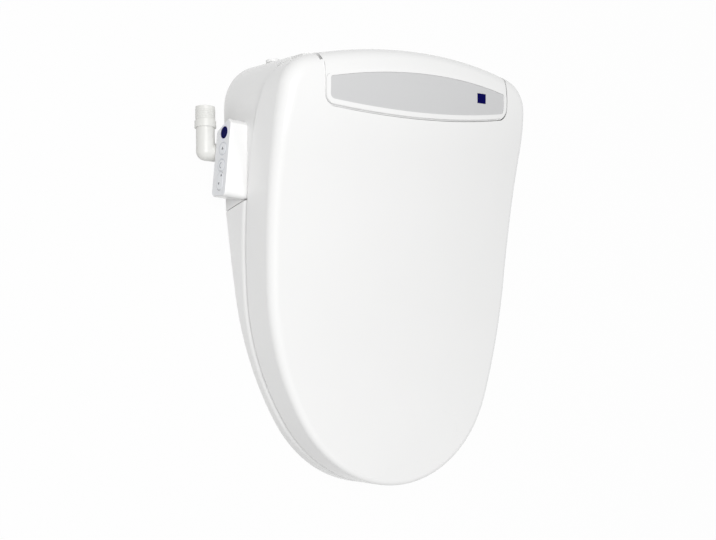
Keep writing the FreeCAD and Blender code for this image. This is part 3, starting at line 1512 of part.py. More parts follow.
def make_water_parts():
    """Solenoid valve, wash pump and the hose between valve and tank."""
    side, floor = size("valve_side"), tray_floor()
    x, y = -size("valve_x"), -size("inlet_y")
    top = floor + size("valve_height")
    body = band(x - side / 2, x + side / 2, y - side / 2, y + side / 2, floor, top)
    coil = Part.makeCylinder(size("coil_radius"), size("coil_height"), Vector(x, y, top))
    keep("solenoid_valve", body.fuse(coil).cut(spigot_form(0)))
    radius, length = size("pump_radius"), size("pump_length")
    pump = Part.makeCylinder(radius, length, Vector(-size("pump_x"), -size("pump_y"),
                                                    floor + radius), AXIS_Y)
    foot = band(-size("pump_x") - radius, -size("pump_x") + radius, -size("pump_y"),
                length - size("pump_y"), floor, floor + radius / 2)
    keep("wash_pump", pump.fuse(foot))
    run, high = size("hose_run_x"), floor + size("hose_height")
    goal = size("tank_depth") / 2 - size("tank_front")
    keep("water_hose", hose([Vector(x + side / 2, y, high), Vector(-run, y, high),
                             Vector(-run, goal, high), Vector(-size("tank_x"), goal, high)]))


def hose(points):
    """Round hose along straight runs joined by arcs."""
    reach = size("hose_bend")
    edges, last = [], points[0]
    for before, corner, after in zip(points, points[1:], points[2:]):
        back, ahead = (before - corner).normalize(), (after - corner).normalize()
        start, end = corner + back * reach, corner + ahead * reach
        inside = corner + (back + ahead) * reach
        middle = inside - (back + ahead).normalize() * reach
        edges += [Part.makeLine(last, start), Part.Arc(start, middle, end).toShape()]
        last = end
    edges.append(Part.makeLine(last, points[-1]))
    ring = Part.Wire([Part.makeCircle(size("hose_radius"), points[0], points[1] - points[0])])
    return Part.Wire(edges).makePipeShell([ring], True, False)


def make_transformer():
    """Mains transformer: a laminated core with its winding."""
    side, high, floor = size("transformer_side"), size("transformer_height"), tray_floor()
    x, y = size("transformer_x"), -size("transformer_y")
    core = band(x - side / 2, x + side / 2, y - side / 4, y + side / 4, floor, floor + high)
    coil = band(x - side / 3, x + side / 3, y - side / 2, y + side / 2, floor + high / 6,
                floor + high * 5 / 6)
    keep("transformer", core.fuse(coil))


def rear_wall_y(x):
    """Where the outside of the rear wall lies near the foot."""
    radius = size("foot_rear_radius")
    return size("foot_rear") - radius + math.sqrt(radius ** 2 - x ** 2)


def through_rear(radius, flange, x, low, high):
    """Round piece through the rear wall with a flange outside."""
    wall, z = rear_wall_y(x), size("gland_z")
    form = Part.makeCylinder(radius, high - low, Vector(x, wall + low, z), AXIS_Y)
    return form.fuse(Part.makeCylinder(flange, size("housing_wall"),
                                       Vector(x, wall, z), AXIS_Y))


def gland_form():
    """Gland for the power cord, without its bore."""
    length = size("gland_length")
    return through_rear(size("gland_radius"), size("gland_radius") + size("screw_radius"),
                        size("gland_x"), -length / 2, length / 2)


def plug_form():
    """Drain plug in the rear wall."""
    length = size("gland_length")
    return through_rear(size("plug_radius"), size("plug_radius") + size("screw_radius"),
                        -size("plug_x"), -length / 2, size("housing_wall"))


def make_rear_fittings():
    """Cord gland and drain plug."""
    bore = Part.makeCylinder(size("gland_bore"), 4 * size("gland_length"), Vector(
        size("gland_x"), 0, size("gland_z")), AXIS_Y)
    keep("cord_gland", gland_form().cut(bore))
    slot = band(-size("plug_x") - size("plug_radius") / 2, -size("plug_x")
                + size("plug_radius") / 2, rear_wall_y(size("plug_x")) + size("housing_wall") / 2,
                2 * size("rear_reach"), size("gland_z") - size("fit_gap") * 3,
                size("gland_z") + size("fit_gap") * 3)
    keep("drain_plug", plug_form().cut(slot))


def build_all():
    """Builds every piece."""
    for make in (make_lid, make_lid_bumpers, make_seat, make_seat_base, make_seat_heater,
                 make_seat_bumpers, make_upper_housing, make_base_tray, make_inlay,
                 make_screws, make_feet, make_hinge_parts, make_mounting_plate,
                 make_control_box, make_label, make_keys, make_button_board, make_inlet,
                 make_nozzles, make_filter, make_tank, make_blower, make_boards,
                 make_water_parts, make_transformer, make_rear_fittings):
        make()
    doc.recompute()


def check_all():
    """Stops when any object of the document is broken."""
    for item in doc.Objects:
        states = set(item.State)
        if states & {"Invalid", "Error"}:
            raise RuntimeError(item.Label + " is in the state " + ", ".join(states))
    for piece in pieces:
        if piece.Shape.isNull() or not piece.Shape.isValid() or not piece.Shape.Solids:
            raise RuntimeError(piece.Label + " has no valid solid")


def export_all():
    """Writes one file for each piece."""
    os.makedirs("parts", exist_ok=True)
    for piece in pieces:
        piece.Shape.exportStep(os.path.join("parts", piece.Label + ".step"))
        box = piece.Shape.BoundBox
        print("%-20s solids %2d  volume %10.1f  X %.1f %.1f  Y %.1f %.1f  Z %.1f %.1f" % (
            piece.Label, len(piece.Shape.Solids), piece.Shape.Volume, box.XMin, box.XMax,
            box.YMin, box.YMax, box.ZMin, box.ZMax))


build_all()
check_all()
export_all()
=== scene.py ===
"""Studio scene of an electronic bidet seat: finishes, prints, fittings, light and camera."""

from __future__ import annotations

import json
import logging
import math
from dataclasses import dataclass, field
from enum import Enum

import bmesh
import bpy
from mathutils import Matrix, Vector

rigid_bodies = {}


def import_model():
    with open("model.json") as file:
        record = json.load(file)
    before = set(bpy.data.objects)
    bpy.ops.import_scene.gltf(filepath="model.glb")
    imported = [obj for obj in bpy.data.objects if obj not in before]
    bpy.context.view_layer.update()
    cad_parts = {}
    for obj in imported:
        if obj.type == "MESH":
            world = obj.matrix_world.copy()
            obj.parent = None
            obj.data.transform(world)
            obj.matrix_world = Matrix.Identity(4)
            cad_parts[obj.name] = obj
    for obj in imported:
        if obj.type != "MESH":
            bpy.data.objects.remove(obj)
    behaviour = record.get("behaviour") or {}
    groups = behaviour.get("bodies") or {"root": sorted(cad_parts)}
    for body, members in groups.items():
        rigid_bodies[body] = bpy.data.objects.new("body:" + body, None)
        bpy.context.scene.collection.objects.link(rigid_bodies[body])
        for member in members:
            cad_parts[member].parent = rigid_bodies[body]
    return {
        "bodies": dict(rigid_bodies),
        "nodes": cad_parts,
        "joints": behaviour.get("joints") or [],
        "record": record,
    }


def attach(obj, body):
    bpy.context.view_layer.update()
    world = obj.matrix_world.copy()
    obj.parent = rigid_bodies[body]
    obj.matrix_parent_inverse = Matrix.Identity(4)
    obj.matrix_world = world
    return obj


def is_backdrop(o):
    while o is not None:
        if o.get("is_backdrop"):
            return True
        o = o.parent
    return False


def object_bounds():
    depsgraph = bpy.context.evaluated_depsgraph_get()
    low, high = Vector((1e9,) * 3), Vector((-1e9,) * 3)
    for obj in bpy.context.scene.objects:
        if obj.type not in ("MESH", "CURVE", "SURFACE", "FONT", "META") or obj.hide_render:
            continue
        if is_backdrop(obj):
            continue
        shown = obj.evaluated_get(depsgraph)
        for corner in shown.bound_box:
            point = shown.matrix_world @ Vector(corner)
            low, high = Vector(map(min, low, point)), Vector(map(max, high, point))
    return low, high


LOG = logging.getLogger("bidet_seat")
MM = 0.001
MERGE_MM = 0.001
ARC_STEP_DEG = 6.0
LEAST_ARC_STEPS = 8
NOISE_MIDDLE = 0.5
Colour = tuple[float, float, float]
WHITE: Colour = (1.0, 1.0, 1.0)
# Sockets of a Mix node that works on colours
MIX_FACTOR, MIX_FIRST, MIX_SECOND, MIX_RESULT = 0, 6, 7, 2


class Slot(Enum):
    """Material slots of the record, which new pieces take their finish from."""

    SHELL = "white_shell"
    INLAY = "silver_inlay"
    LABEL = "label_grey"
    KEY = "key_grey"
    BLUE = "deep_blue"
    IVORY = "ivory"
    GREY_RUBBER = "rubber_grey"
    BLACK_RUBBER = "rubber_black"
    STEEL = "steel"
    DARK = "dark_plastic"
    PLATE = "plate_grey"
    BOARD = "board_green"
    FOIL = "heating_foil"
    CARBON = "filter_black"


class Body(Enum):
    """Bodies of the mechanism that new pieces ride on."""

    HOUSING = "housing"
    UP = "up_key"
    STOP = "stop_key"
    ROCKER = "rocker"
    ELBOW = "elbow"


class Wire:
    """A shader value that adds its Math nodes as Python arithmetic is written on it."""

    def __init__(self, sheet: NodeSheet, socket: bpy.types.NodeSocket) -> None:
        """Wraps an output socket of a node sheet."""
        self.sheet = sheet
        self.socket = socket

    def _join(self, operation: str, first: Wire | float, second: Wire | float) -> Wire:
        """Adds one Math node and hands back its result."""
        made = self.sheet.node("ShaderNodeMath", {"operation": operation}, {0: first, 1: second})
        return Wire(self.sheet, made.outputs[0])

    def __add__(self, other: Wire | float) -> Wire:
        """Sum."""
        return self._join("ADD", self, other)

    def __radd__(self, other: float) -> Wire:
        """Sum with the number first."""
        return self._join("ADD", other, self)

    def __sub__(self, other: Wire | float) -> Wire:
        """Difference."""
        return self._join("SUBTRACT", self, other)

    def __rsub__(self, other: float) -> Wire:
        """Difference with the number first."""
        return self._join("SUBTRACT", other, self)

    def __mul__(self, other: Wire | float) -> Wire:
        """Product."""
        return self._join("MULTIPLY", self, other)

    def __rmul__(self, other: float) -> Wire:
        """Product with the number first."""
        return self._join("MULTIPLY", other, self)

    def __pow__(self, other: Wire | float) -> Wire:
        """Power."""
        return self._join("POWER", self, other)

    def __abs__(self) -> Wire:
        """Size without sign."""
        return self._join("ABSOLUTE", self, 0.0)

    def over(self, limit: float) -> Wire:
        """One where the value is over a limit, and zero elsewhere."""
        return self._join("GREATER_THAN", self, limit)

    def least(self, other: Wire | float) -> Wire:
        """The lesser of two values."""
        return self._join("MINIMUM", self, other)

    def most(self, other: Wire | float) -> Wire:
        """The greater of two values."""
        return self._join("MAXIMUM", self, other)

    def repeat(self, other: float) -> Wire:
        """The rest after division, for patterns that repeat."""
        return self._join("FLOORED_MODULO", self, other)


class NodeSheet:
    """The node tree of one material, or of the world."""

    def __init__(self, name: str, is_world: bool = False) -> None:
        """Starts a new material or world with an empty tree.

        Args:
            name: Its name.
            is_world: True for a world.
        """
        shelf = bpy.data.worlds if is_world else bpy.data.materials
        self.owner = shelf.new(name)
        self.owner.use_nodes = True
        self.tree = self.owner.node_tree
        self.tree.nodes.clear()

    def node(
        self,
        kind: str,
        settings: dict[str, object] | None = None,
        sockets: dict[str | int, object] | None = None,
    ) -> bpy.types.Node:
        """Adds a node, sets its settings first and then feeds its sockets.

        Args:
            kind: The node's type.
            settings: Values of the node's own attributes.
            sockets: Values, wires or output sockets by input name or number.

        Returns:
            The node.
        """
        made = self.tree.nodes.new(kind)
        for key, value in (settings or {}).items():
            setattr(made, key, value)
        for key, value in (sockets or {}).items():
            self.feed(made.inputs[key], value)
        return made

    def feed(self, socket: bpy.types.NodeSocket, value: object) -> None:
        """Gives an input its link or value.

        Args:
            socket: The input.
            value: A wire, an output socket, a number, or a colour or vector.
        """
        if isinstance(value, Wire):
            self.tree.links.new(socket, value.socket)
        elif isinstance(value, bpy.types.NodeSocket):
            self.tree.links.new(socket, value)
        elif isinstance(value, (tuple, list)) and len(value) == 3 and socket.type == "RGBA":
            socket.default_value = (*value, 1.0)
        else:
            socket.default_value = value

    def place(self) -> bpy.types.NodeSocket:
        """Object coordinates, which on these pieces are metres in the shared frame."""
        return self.node("ShaderNodeTexCoord").outputs["Object"]

    def axes(self) -> tuple[Wire, Wire, Wire]:
        """The three coordinates as values, in metres."""
        made = self.node("ShaderNodeSeparateXYZ", None, {0: self.place()})
        return tuple(Wire(self, made.outputs[i]) for i in range(3))

    def noise(self, scale: float, detail: float = 2.0, roughness: float = 0.5) -> Wire:
        """Cloudy noise from 0 to 1, with its scale in waves per metre and its detail in octaves."""
        sockets = {"Vector": self.place(), "Scale": scale, "Detail": detail, "Roughness": roughness}
        return Wire(self, self.node("ShaderNodeTexNoise", None, sockets).outputs["Fac"])

    def blend(self, factor: Wire | float, first: object, second: object) -> bpy.types.NodeSocket:
        """Mixes two colours or colour sockets by the second one's share."""
        sockets = {MIX_FACTOR: factor, MIX_FIRST: first, MIX_SECOND: second}
        return self.node("ShaderNodeMix", {"data_type": "RGBA"}, sockets).outputs[MIX_RESULT]

    def bump(self, height: Wire, depth: float, strength: float) -> bpy.types.NodeSocket:
        """Turns a height from 0 to 1 into a normal, with the depth of its full height in metres."""
        sockets = {"Height": height, "Distance": depth, "Strength": strength}
        return self.node("ShaderNodeBump", None, sockets).outputs["Normal"]

    def close(self, **sockets: object) -> bpy.types.Material:
        """Ends the material with its surface shader.

        Args:
            **sockets: Values of the shader's sockets, with _ for spaces.

        Returns:
            The material.
        """
        named = {key.replace("_", " "): value for key, value in sockets.items()}
        shader = self.node("ShaderNodeBsdfPrincipled", None, named)
        self.node("ShaderNodeOutputMaterial", None, {"Surface": shader.outputs[0]})
        return self.owner


def shade(colour: Colour, share: float) -> Colour:
    """A lighter or darker copy of a colour."""
    return tuple(channel * share for channel in colour)


@dataclass(frozen=True)
class Moulded:
    """Injection moulded plastic: faint flow clouds, a skin of orange peel and handling haze."""

    name: str
    colour: Colour
    roughness: float = 0.22
    cloud: float = 0.02
    cloud_scale: float = 14.0
    peel_scale: float = 900.0
    peel_depth: float = 0.00001
    peel_share: float = 0.35
    haze: float = 0.05
    cloud_octaves: float = 3.0
    smears_per_cloud: float = 5.0
    smear_octaves: float = 4.0
    smear_roughness: float = 0.6
    peel_octaves: float = 1.0

    def material(self) -> bpy.types.Material:
        """Builds the finish."""
        sheet = NodeSheet(self.name)
        clouds = sheet.noise(self.cloud_scale, self.cloud_octaves)
        colour = sheet.blend(clouds, shade(self.colour, 1 - self.cloud), self.colour)
        smear_scale = self.cloud_scale * self.smears_per_cloud
        smear = sheet.noise(smear_scale, self.smear_octaves, self.smear_roughness)
        peel = sheet.noise(self.peel_scale, self.peel_octaves)
        return sheet.close(
            Base_Color=colour,
            Roughness=self.roughness + (smear - NOISE_MIDDLE) * (2 * self.haze),
            Normal=sheet.bump(peel, self.peel_depth, self.peel_share),
        )


@dataclass(frozen=True)
class SatinFilm:
    """Metallic lacquered or printed film: fine flakes in a satin coat."""

    name: str
    colour: Colour
    metallic: float = 0.0
    roughness: float = 0.35
    flake_scale: float = 2600.0
    flake: float = 0.06
    flake_depth: float = 0.000012
    sparkle: float = 0.12
    cloud_scale: float = 9.0
    cloud_share: float = 0.3
    cloud_shade: float = 0.97
    flake_roughness: float = 0.7
    flake_strength: float = 0.3

    def material(self) -> bpy.types.Material:
        """Builds the finish."""
        sheet = NodeSheet(self.name)
        flakes = sheet.noise(self.flake_scale, roughness=self.flake_roughness)
        clouds = sheet.noise(self.cloud_scale) * self.cloud_share
        dull, bright = shade(self.colour, 1 - self.flake), shade(self.colour, 1 + self.flake)
        grain = sheet.blend(flakes, dull, bright)
        return sheet.close(
            Base_Color=sheet.blend(clouds, grain, shade(self.colour, self.cloud_shade)),
            Metallic=self.metallic,
            Roughness=self.roughness + (flakes - NOISE_MIDDLE) * self.sparkle,
            Normal=sheet.bump(flakes, self.flake_depth, self.flake_strength),
        )


@dataclass(frozen=True)
class Rubber:
    """Soft rubber with a dusty bloom."""

    name: str
    colour: Colour
    bloom: Colour = (0.62, 0.62, 0.60)
    roughness: float = 0.72
    dust_scale: float = 60.0
    dust_share: float = 0.5
    grain_scale: float = 1500.0
    grain_depth: float = 0.00004
    grain_strength: float = 0.5
    dust_octaves: float = 5.0
    dust_roughness: float = 0.65
    dust_falloff: float = 3.0
    dust_haze: float = 0.16

    def material(self) -> bpy.types.Material:
        """Builds the finish."""
        sheet = NodeSheet(self.name)
        dust = sheet.noise(self.dust_scale, self.dust_octaves, self.dust_roughness)
        settled = dust ** self.dust_falloff * self.dust_share
        grain = sheet.noise(self.grain_scale)
        return sheet.close(
            Base_Color=sheet.blend(settled, self.colour, self.bloom),
            Roughness=self.roughness + (dust - NOISE_MIDDLE) * self.dust_haze,
            Normal=sheet.bump(grain, self.grain_depth, self.grain_strength),
        )


@dataclass(frozen=True)
class TurnedMetal:
    """Plated or turned metal: fine tool marks, spots and smears in its shine."""

    name: str
    colour: Colour
    roughness: float = 0.3
    mark_scale: float = 3000.0
    mark_depth: float = 0.00001
    spot_scale: float = 220.0
    smear: float = 0.24
    mark_strength: float = 0.4
    spot_octaves: float = 4.0
    spot_roughness: float = 0.6
    spot_shade: float = 0.86
    metallic: float = 1.0

    def material(self) -> bpy.types.Material:
        """Builds the finish."""
        sheet = NodeSheet(self.name)
        marks = sheet.noise(self.mark_scale)
        spots = sheet.noise(self.spot_scale, self.spot_octaves, self.spot_roughness)
        return sheet.close(
            Base_Color=sheet.blend(spots, shade(self.colour, self.spot_shade), self.colour),
            Metallic=self.metallic,
            Roughness=self.roughness + (spots - NOISE_MIDDLE) * self.smear,
            Normal=sheet.bump(marks, self.mark_depth, self.mark_strength),
        )


@dataclass(frozen=True)
class BoardLaminate:
    """Circuit board: solder mask over a raster of copper tracks."""

    name: str
    colour: Colour
    track: Colour
    pitch: float = 0.0032
    track_half: float = 0.0005
    track_depth: float = 0.00004
    bare_share: float = 0.47
    sway: float = 0.009
    sway_scale: float = 70.0
    patch_scale: float = 55.0
    octaves: float = 1.0
    cross_pitch_share: float = 1.5
    track_strength: float = 0.6
    roughness: float = 0.32
    haze: float = 0.1
    haze_scale: float = 400.0

    def material(self) -> bpy.types.Material:
        """Builds the finish."""
        sheet = NodeSheet(self.name)
        across, along, up = sheet.axes()
        wander = sheet.noise(self.sway_scale, self.octaves) * self.sway
        cross_pitch = self.pitch * self.cross_pitch_share
        first = abs((across + wander).repeat(self.pitch) - self.pitch / 2)
        second = abs((up + along + wander).repeat(cross_pitch) - cross_pitch / 2)
        tracks = 1 - first.least(second).over(self.track_half)
        mask = tracks * sheet.noise(self.patch_scale, self.octaves).over(self.bare_share)
        return sheet.close(
            Base_Color=sheet.blend(mask, self.colour, self.track),
            Roughness=self.roughness + sheet.noise(self.haze_scale) * self.haze,
            Normal=sheet.bump(mask, self.track_depth, self.track_strength),
        )


@dataclass(frozen=True)
class HeatingFoil:
    """Crumpled aluminium foil over a serpentine heating wire, with painted shade in its creases."""

    name: str
    colour: Colour
    wire_pitch: float = 0.012
    ring_middle: float = 0.25
    steepness: float = 400.0
    depth: float = 0.0008
    strength: float = 0.7
    crease_scale: float = 160.0
    crease_octaves: float = 6.0
    crease_roughness: float = 0.7
    crease_painted_shade: float = 0.8
    crease_height: float = 0.5
    metallic: float = 0.9
    roughness: float = 0.28
    haze: float = 0.2

    def material(self) -> bpy.types.Material:
        """Builds the finish."""
        sheet = NodeSheet(self.name)
        across, along, _ = sheet.axes()
        forward = along + self.ring_middle
        radius = (across * across + forward * forward) ** 0.5
        wave = abs(radius.repeat(self.wire_pitch) - self.wire_pitch / 2)
        ridge = 1 - (wave * self.steepness).least(1.0)
        creases = sheet.noise(self.crease_scale, self.crease_octaves, self.crease_roughness)
        height = ridge + creases * self.crease_height
        return sheet.close(
            # Painted shade: the foil's colour is darker where its creases lie low.
            Base_Color=sheet.blend(creases, shade(self.colour, self.crease_painted_shade), self.colour),
            Metallic=self.metallic,
            Roughness=self.roughness + creases * self.haze,
            Normal=sheet.bump(height, self.depth, self.strength),
        )


@dataclass(frozen=True)
class CarbonFoam:
    """Open carbon foam: grey ribs with black cells between them, the black of the cells being
    painted shade in the foam's hollows.
    """

    name: str
    colour: Colour
    rib: Colour = (0.06, 0.06, 0.065)
    cell_scale: float = 620.0
    rib_depth: float = 0.0008
    rib_sharpness: float = 5.0
    rib_strength: float = 0.9
    rib_shine: float = 0.2
    roughness: float = 0.95

    def material(self) -> bpy.types.Material:
        """Builds the finish."""
        sheet = NodeSheet(self.name)
        settings = {"feature": "DISTANCE_TO_EDGE"}
        sockets = {"Vector": sheet.place(), "Scale": self.cell_scale}
        cells = sheet.node("ShaderNodeTexVoronoi", settings, sockets)
        depth = Wire(sheet, cells.outputs["Distance"])
        ribs = 1 - (depth * self.rib_sharpness).least(1.0)
        return sheet.close(
            # Painted shade: the cells between the ribs are coloured near black for the shade in the
            # foam's hollows.
            Base_Color=sheet.blend(ribs, self.colour, self.rib),
            Roughness=self.roughness - ribs * self.rib_shine,
            Normal=sheet.bump(ribs, self.rib_depth, self.rib_strength),
        )


@dataclass(frozen=True)
class TintedLens:
    """Deep tinted clear plastic: a soft skin over a dark tint with a faint depth of colour."""

    name: str
    colour: Colour
    shine: float = 0.02
    roughness: float = 0.22
    skin_depth: float = 0.000008
    skin_scale: float = 700.0
    skin_octaves: float = 1.0
    skin_haze: float = 0.08
    skin_strength: float = 0.3
    tint_scale: float = 260.0
    tint_shade: float = 0.7

    def material(self) -> bpy.types.Material:
        """Builds the finish."""
        sheet = NodeSheet(self.name)
        tint = sheet.noise(self.tint_scale)
        skin = sheet.noise(self.skin_scale, self.skin_octaves)
        return sheet.close(
            Base_Color=sheet.blend(tint, self.colour, shade(self.colour, self.tint_shade)),
            Roughness=self.roughness + skin * self.skin_haze,
            Specular_IOR_Level=self.shine,
            Normal=sheet.bump(skin, self.skin_depth, self.skin_strength),
        )


@dataclass(frozen=True)
class PrintedInk:
    """Screen printed ink: flat colour, a little thin in places."""

    name: str
    colour: Colour
    thin: float = 0.25
    film: Colour = (0.6, 0.61, 0.64)
    grain_scale: float = 4200.0
    grain_depth: float = 0.000006
    grain_octaves: float = 3.0
    grain_roughness: float = 0.6
    grain_strength: float = 0.4
    roughness: float = 0.5
    haze: float = 0.2

    def material(self) -> bpy.types.Material:
        """Builds the finish."""
        sheet = NodeSheet(self.name)
        cover = sheet.noise(self.grain_scale, self.grain_octaves, self.grain_roughness)
        return sheet.close(
            Base_Color=sheet.blend(cover * self.thin, self.colour, self.film),
            Roughness=self.roughness + (cover - NOISE_MIDDLE) * self.haze,
            Normal=sheet.bump(cover, self.grain_depth, self.grain_strength),
        )


@dataclass
class Palette:
    """Every finish of the seat, built once and handed out by name."""

    finishes: dict[Slot, bpy.types.Material] = field(init=False, default_factory=dict)
    dark_ink: bpy.types.Material = field(init=False)
    grey_ink: bpy.types.Material = field(init=False)
    pale_ink: bpy.types.Material = field(init=False)
    halo_ink: bpy.types.Material = field(init=False)

    def __post_init__(self) -> None:
        """Builds the finishes."""
        recipes = {
            Slot.SHELL: Moulded("gloss white shell", (0.87, 0.87, 0.866), roughness=0.2),
            Slot.INLAY: SatinFilm(
                "silver lacquer inlay", (0.60, 0.602, 0.606), metallic=0.1, roughness=0.34
            ),
            Slot.LABEL: SatinFilm("printed label film", (0.82, 0.83, 0.85), roughness=0.42),
            Slot.KEY: SatinFilm("key cap film", (0.83, 0.845, 0.87), roughness=0.4),
            Slot.BLUE: TintedLens("deep blue lens", (0.0004, 0.0004, 0.085)),
            Slot.IVORY: Moulded(
                "ivory fitting", (0.75, 0.75, 0.725), roughness=0.3, cloud=0.03, cloud_scale=22.0
            ),
            Slot.GREY_RUBBER: Rubber("grey bumper rubber", (0.36, 0.36, 0.36)),
            Slot.BLACK_RUBBER: Rubber(
                "black seal rubber", (0.018, 0.018, 0.018), bloom=(0.11, 0.11, 0.11)
            ),
            Slot.STEEL: TurnedMetal("plated steel", (0.62, 0.61, 0.60)),
            Slot.DARK: Moulded(
                "charcoal plastic", (0.020, 0.020, 0.022), roughness=0.42, cloud=0.15,
                cloud_scale=30.0, peel_scale=1200.0, peel_depth=0.00003,
            ),
            Slot.PLATE: Moulded(
                "grey plate plastic", (0.17, 0.185, 0.205), roughness=0.45, cloud=0.06,
                cloud_scale=20.0, peel_scale=1400.0, peel_depth=0.00003,
            ),
            Slot.BOARD: BoardLaminate(
                "green board", (0.010, 0.075, 0.022), track=(0.03, 0.16, 0.05)
            ),
            Slot.FOIL: HeatingFoil("heating foil", (0.78, 0.78, 0.79)),
            Slot.CARBON: CarbonFoam("carbon foam", (0.006, 0.006, 0.006)),
        }
        self.finishes = {slot: recipe.material() for slot, recipe in recipes.items()}
        self.dark_ink = PrintedInk("dark icon ink", (0.06, 0.065, 0.08)).material()
        self.grey_ink = PrintedInk("grey icon ink", (0.33, 0.35, 0.38)).material()
        self.pale_ink = PrintedInk("pale ring ink", (0.60, 0.63, 0.68), thin=0.1).material()
        self.halo_ink = PrintedInk("halo ink", (0.80, 0.79, 0.92), thin=0.1).material()

    def dress(self, node: bpy.types.Object, slot: Slot) -> None:
        """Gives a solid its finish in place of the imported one."""
        node.data.materials.clear()
        node.data.materials.append(self.finishes[slot])


@dataclass
class PhotoCamera:
    """The photograph's camera, as found from the seat's outline."""

    turn_deg: float = 39.29
    pitch_deg: float = -2.11
    roll_deg: float = -4.52
    distance: float = 1.0993
    lens_mm: float = 48.70
    sensor_mm: float = 36.0
    near: float = 0.05
    far: float = 40.0
    target: Vector = field(default_factory=lambda: Vector((-0.0508, -0.1777, 0.060)))

    def place(self) -> None:
        """Makes the camera and gives it to the scene."""
        angles = (self.turn_deg, self.pitch_deg, self.roll_deg)
        turn, pitch, roll = (math.radians(angle) for angle in angles)
        level = math.cos(pitch)
        back = Vector((-math.sin(turn) * level, math.sin(pitch), math.cos(turn) * level))
        right = Vector((0, 1, 0)).cross(back).normalized()
        up = back.cross(right)
        across = right * math.cos(roll) + up * math.sin(roll)
        above = up * math.cos(roll) - right * math.sin(roll)
        data = bpy.data.cameras.new("photo camera")
        data.sensor_width = self.sensor_mm
        data.lens = self.lens_mm
        data.clip_start, data.clip_end = self.near, self.far
        camera = bpy.data.objects.new("photo camera", data)
        turned = Matrix((across, above, back)).transposed().to_4x4()
        camera.matrix_world = Matrix.Translation(self.target + back * self.distance) @ turned
        bpy.context.scene.collection.objects.link(camera)
        bpy.context.scene.camera = camera


@dataclass
class Studio:
    """White sweep, soft box and sky of the studio."""

    floor_half: float = 4.0
    floor_colour: Colour = (0.65, 0.65, 0.65)
    sky: float = 0.40
    floor_white: float = 0.97
    full_white: float = 1.0
    grain_scale: float = 30.0
    grain_octaves: float = 3.0
    grain_shade: float = 0.95
    key_power: float = 51.0
    key_size: float = 1.4
    key_place: Vector = field(default_factory=lambda: Vector((-1.12, -0.06, 2.42)))
    aim: Vector = field(default_factory=lambda: Vector((0.0, -0.17, 0.07)))

    def build(self, low: float) -> None:
        """Builds floor, world and lamp.

        Args:
            low: Height of the floor, in metres.
        """
        self._floor(low)
        self._world()
        self._soft_box("key box", self.key_place, self.key_size, self.key_power)

    def _floor(self, low: float) -> None:
        """Lays the floor at the seat's lowest point.

        Args:
            low: Height of the floor.
        """
        mesh = bpy.data.meshes.new("studio_floor")
        made = bmesh.new()
        bmesh.ops.create_grid(made, x_segments=1, y_segments=1, size=self.floor_half)
        bmesh.ops.translate(made, vec=(0, 0, low), verts=made.verts)
        made.to_mesh(mesh)
        made.free()
        floor = bpy.data.objects.new("studio_floor", mesh)
        bpy.context.scene.collection.objects.link(floor)
        mesh.materials.append(self._floor_paint())
        floor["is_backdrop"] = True

    def _floor_paint(self) -> bpy.types.Material:
        """White paint that shows at full white and keeps a faint shadow; open from below.

        Returns:
            The material.
        """
        sheet = NodeSheet("white sweep")
        grain = sheet.noise(self.grain_scale, self.grain_octaves)
        dull = shade(self.floor_colour, self.grain_shade)
        colour = sheet.blend(grain, dull, self.floor_colour)
        paint = sheet.node("ShaderNodeBsdfDiffuse", None, {"Color": colour})
        glow = {"Color": WHITE, "Strength": self.full_white}
        lit = sheet.node("ShaderNodeEmission", None, glow)
        solid = self._mixed(sheet, self._looked_at(sheet) * self.floor_white, paint, lit)
        behind = Wire(sheet, sheet.node("ShaderNodeNewGeometry").outputs["Backfacing"])
        both = self._mixed(sheet, behind, solid, sheet.node("ShaderNodeBsdfTransparent"))
        sheet.node("ShaderNodeOutputMaterial", None, {"Surface": both.outputs[0]})
        return sheet.owner

    def _looked_at(self, sheet: NodeSheet) -> Wire:
        """One for what the camera, a mirror or glass looks at, and zero for other light.

        Args:
            sheet: The node sheet that gets the nodes.

        Returns:
            The mask.
        """
        path = sheet.node("ShaderNodeLightPath")
        names = ("Is Camera Ray", "Is Glossy Ray", "Is Transmission Ray")
        camera, mirror, glass = (Wire(sheet, path.outputs[name]) for name in names)
        return camera.most(mirror).most(glass)

    def _mixed(
        self, sheet: NodeSheet, share: Wire, first: bpy.types.Node, second: bpy.types.Node
    ) -> bpy.types.Node:
        """Mixes two shaders by the second one's share."""
        sockets = {0: share, 1: first.outputs[0], 2: second.outputs[0]}
        return sheet.node("ShaderNodeMixShader", None, sockets)

    def _world(self) -> None:
        """Even sky for light, and full white for what the camera and reflections see."""
        sheet = NodeSheet("studio sky", is_world=True)
        bpy.context.scene.world = sheet.owner
        sky, white = (
            sheet.node("ShaderNodeBackground", None, {"Color": WHITE, "Strength": strength})
            for strength in (self.sky, self.full_white)
        )
        mixed = self._mixed(sheet, self._looked_at(sheet), sky, white)
        sheet.node("ShaderNodeOutputWorld", None, {"Surface": mixed.outputs[0]})

    def _soft_box(self, name: str, place: Vector, size: float, power: float) -> None:
        """Hangs a square soft box that looks at the seat.

        Args:
            name: Its name.
            place: Its middle.
            size: Its side, in metres.
            power: Its power, in watts.
        """
        data = bpy.data.lights.new(name, "AREA")
        data.shape = "SQUARE"
        data.size = size
        data.energy = power
        lamp = bpy.data.objects.new(name, data)
        facing = (place - self.aim).to_track_quat("Z", "Y").to_matrix().to_4x4()
        lamp.matrix_world = Matrix.Translation(place) @ facing
        bpy.context.scene.collection.objects.link(lamp)


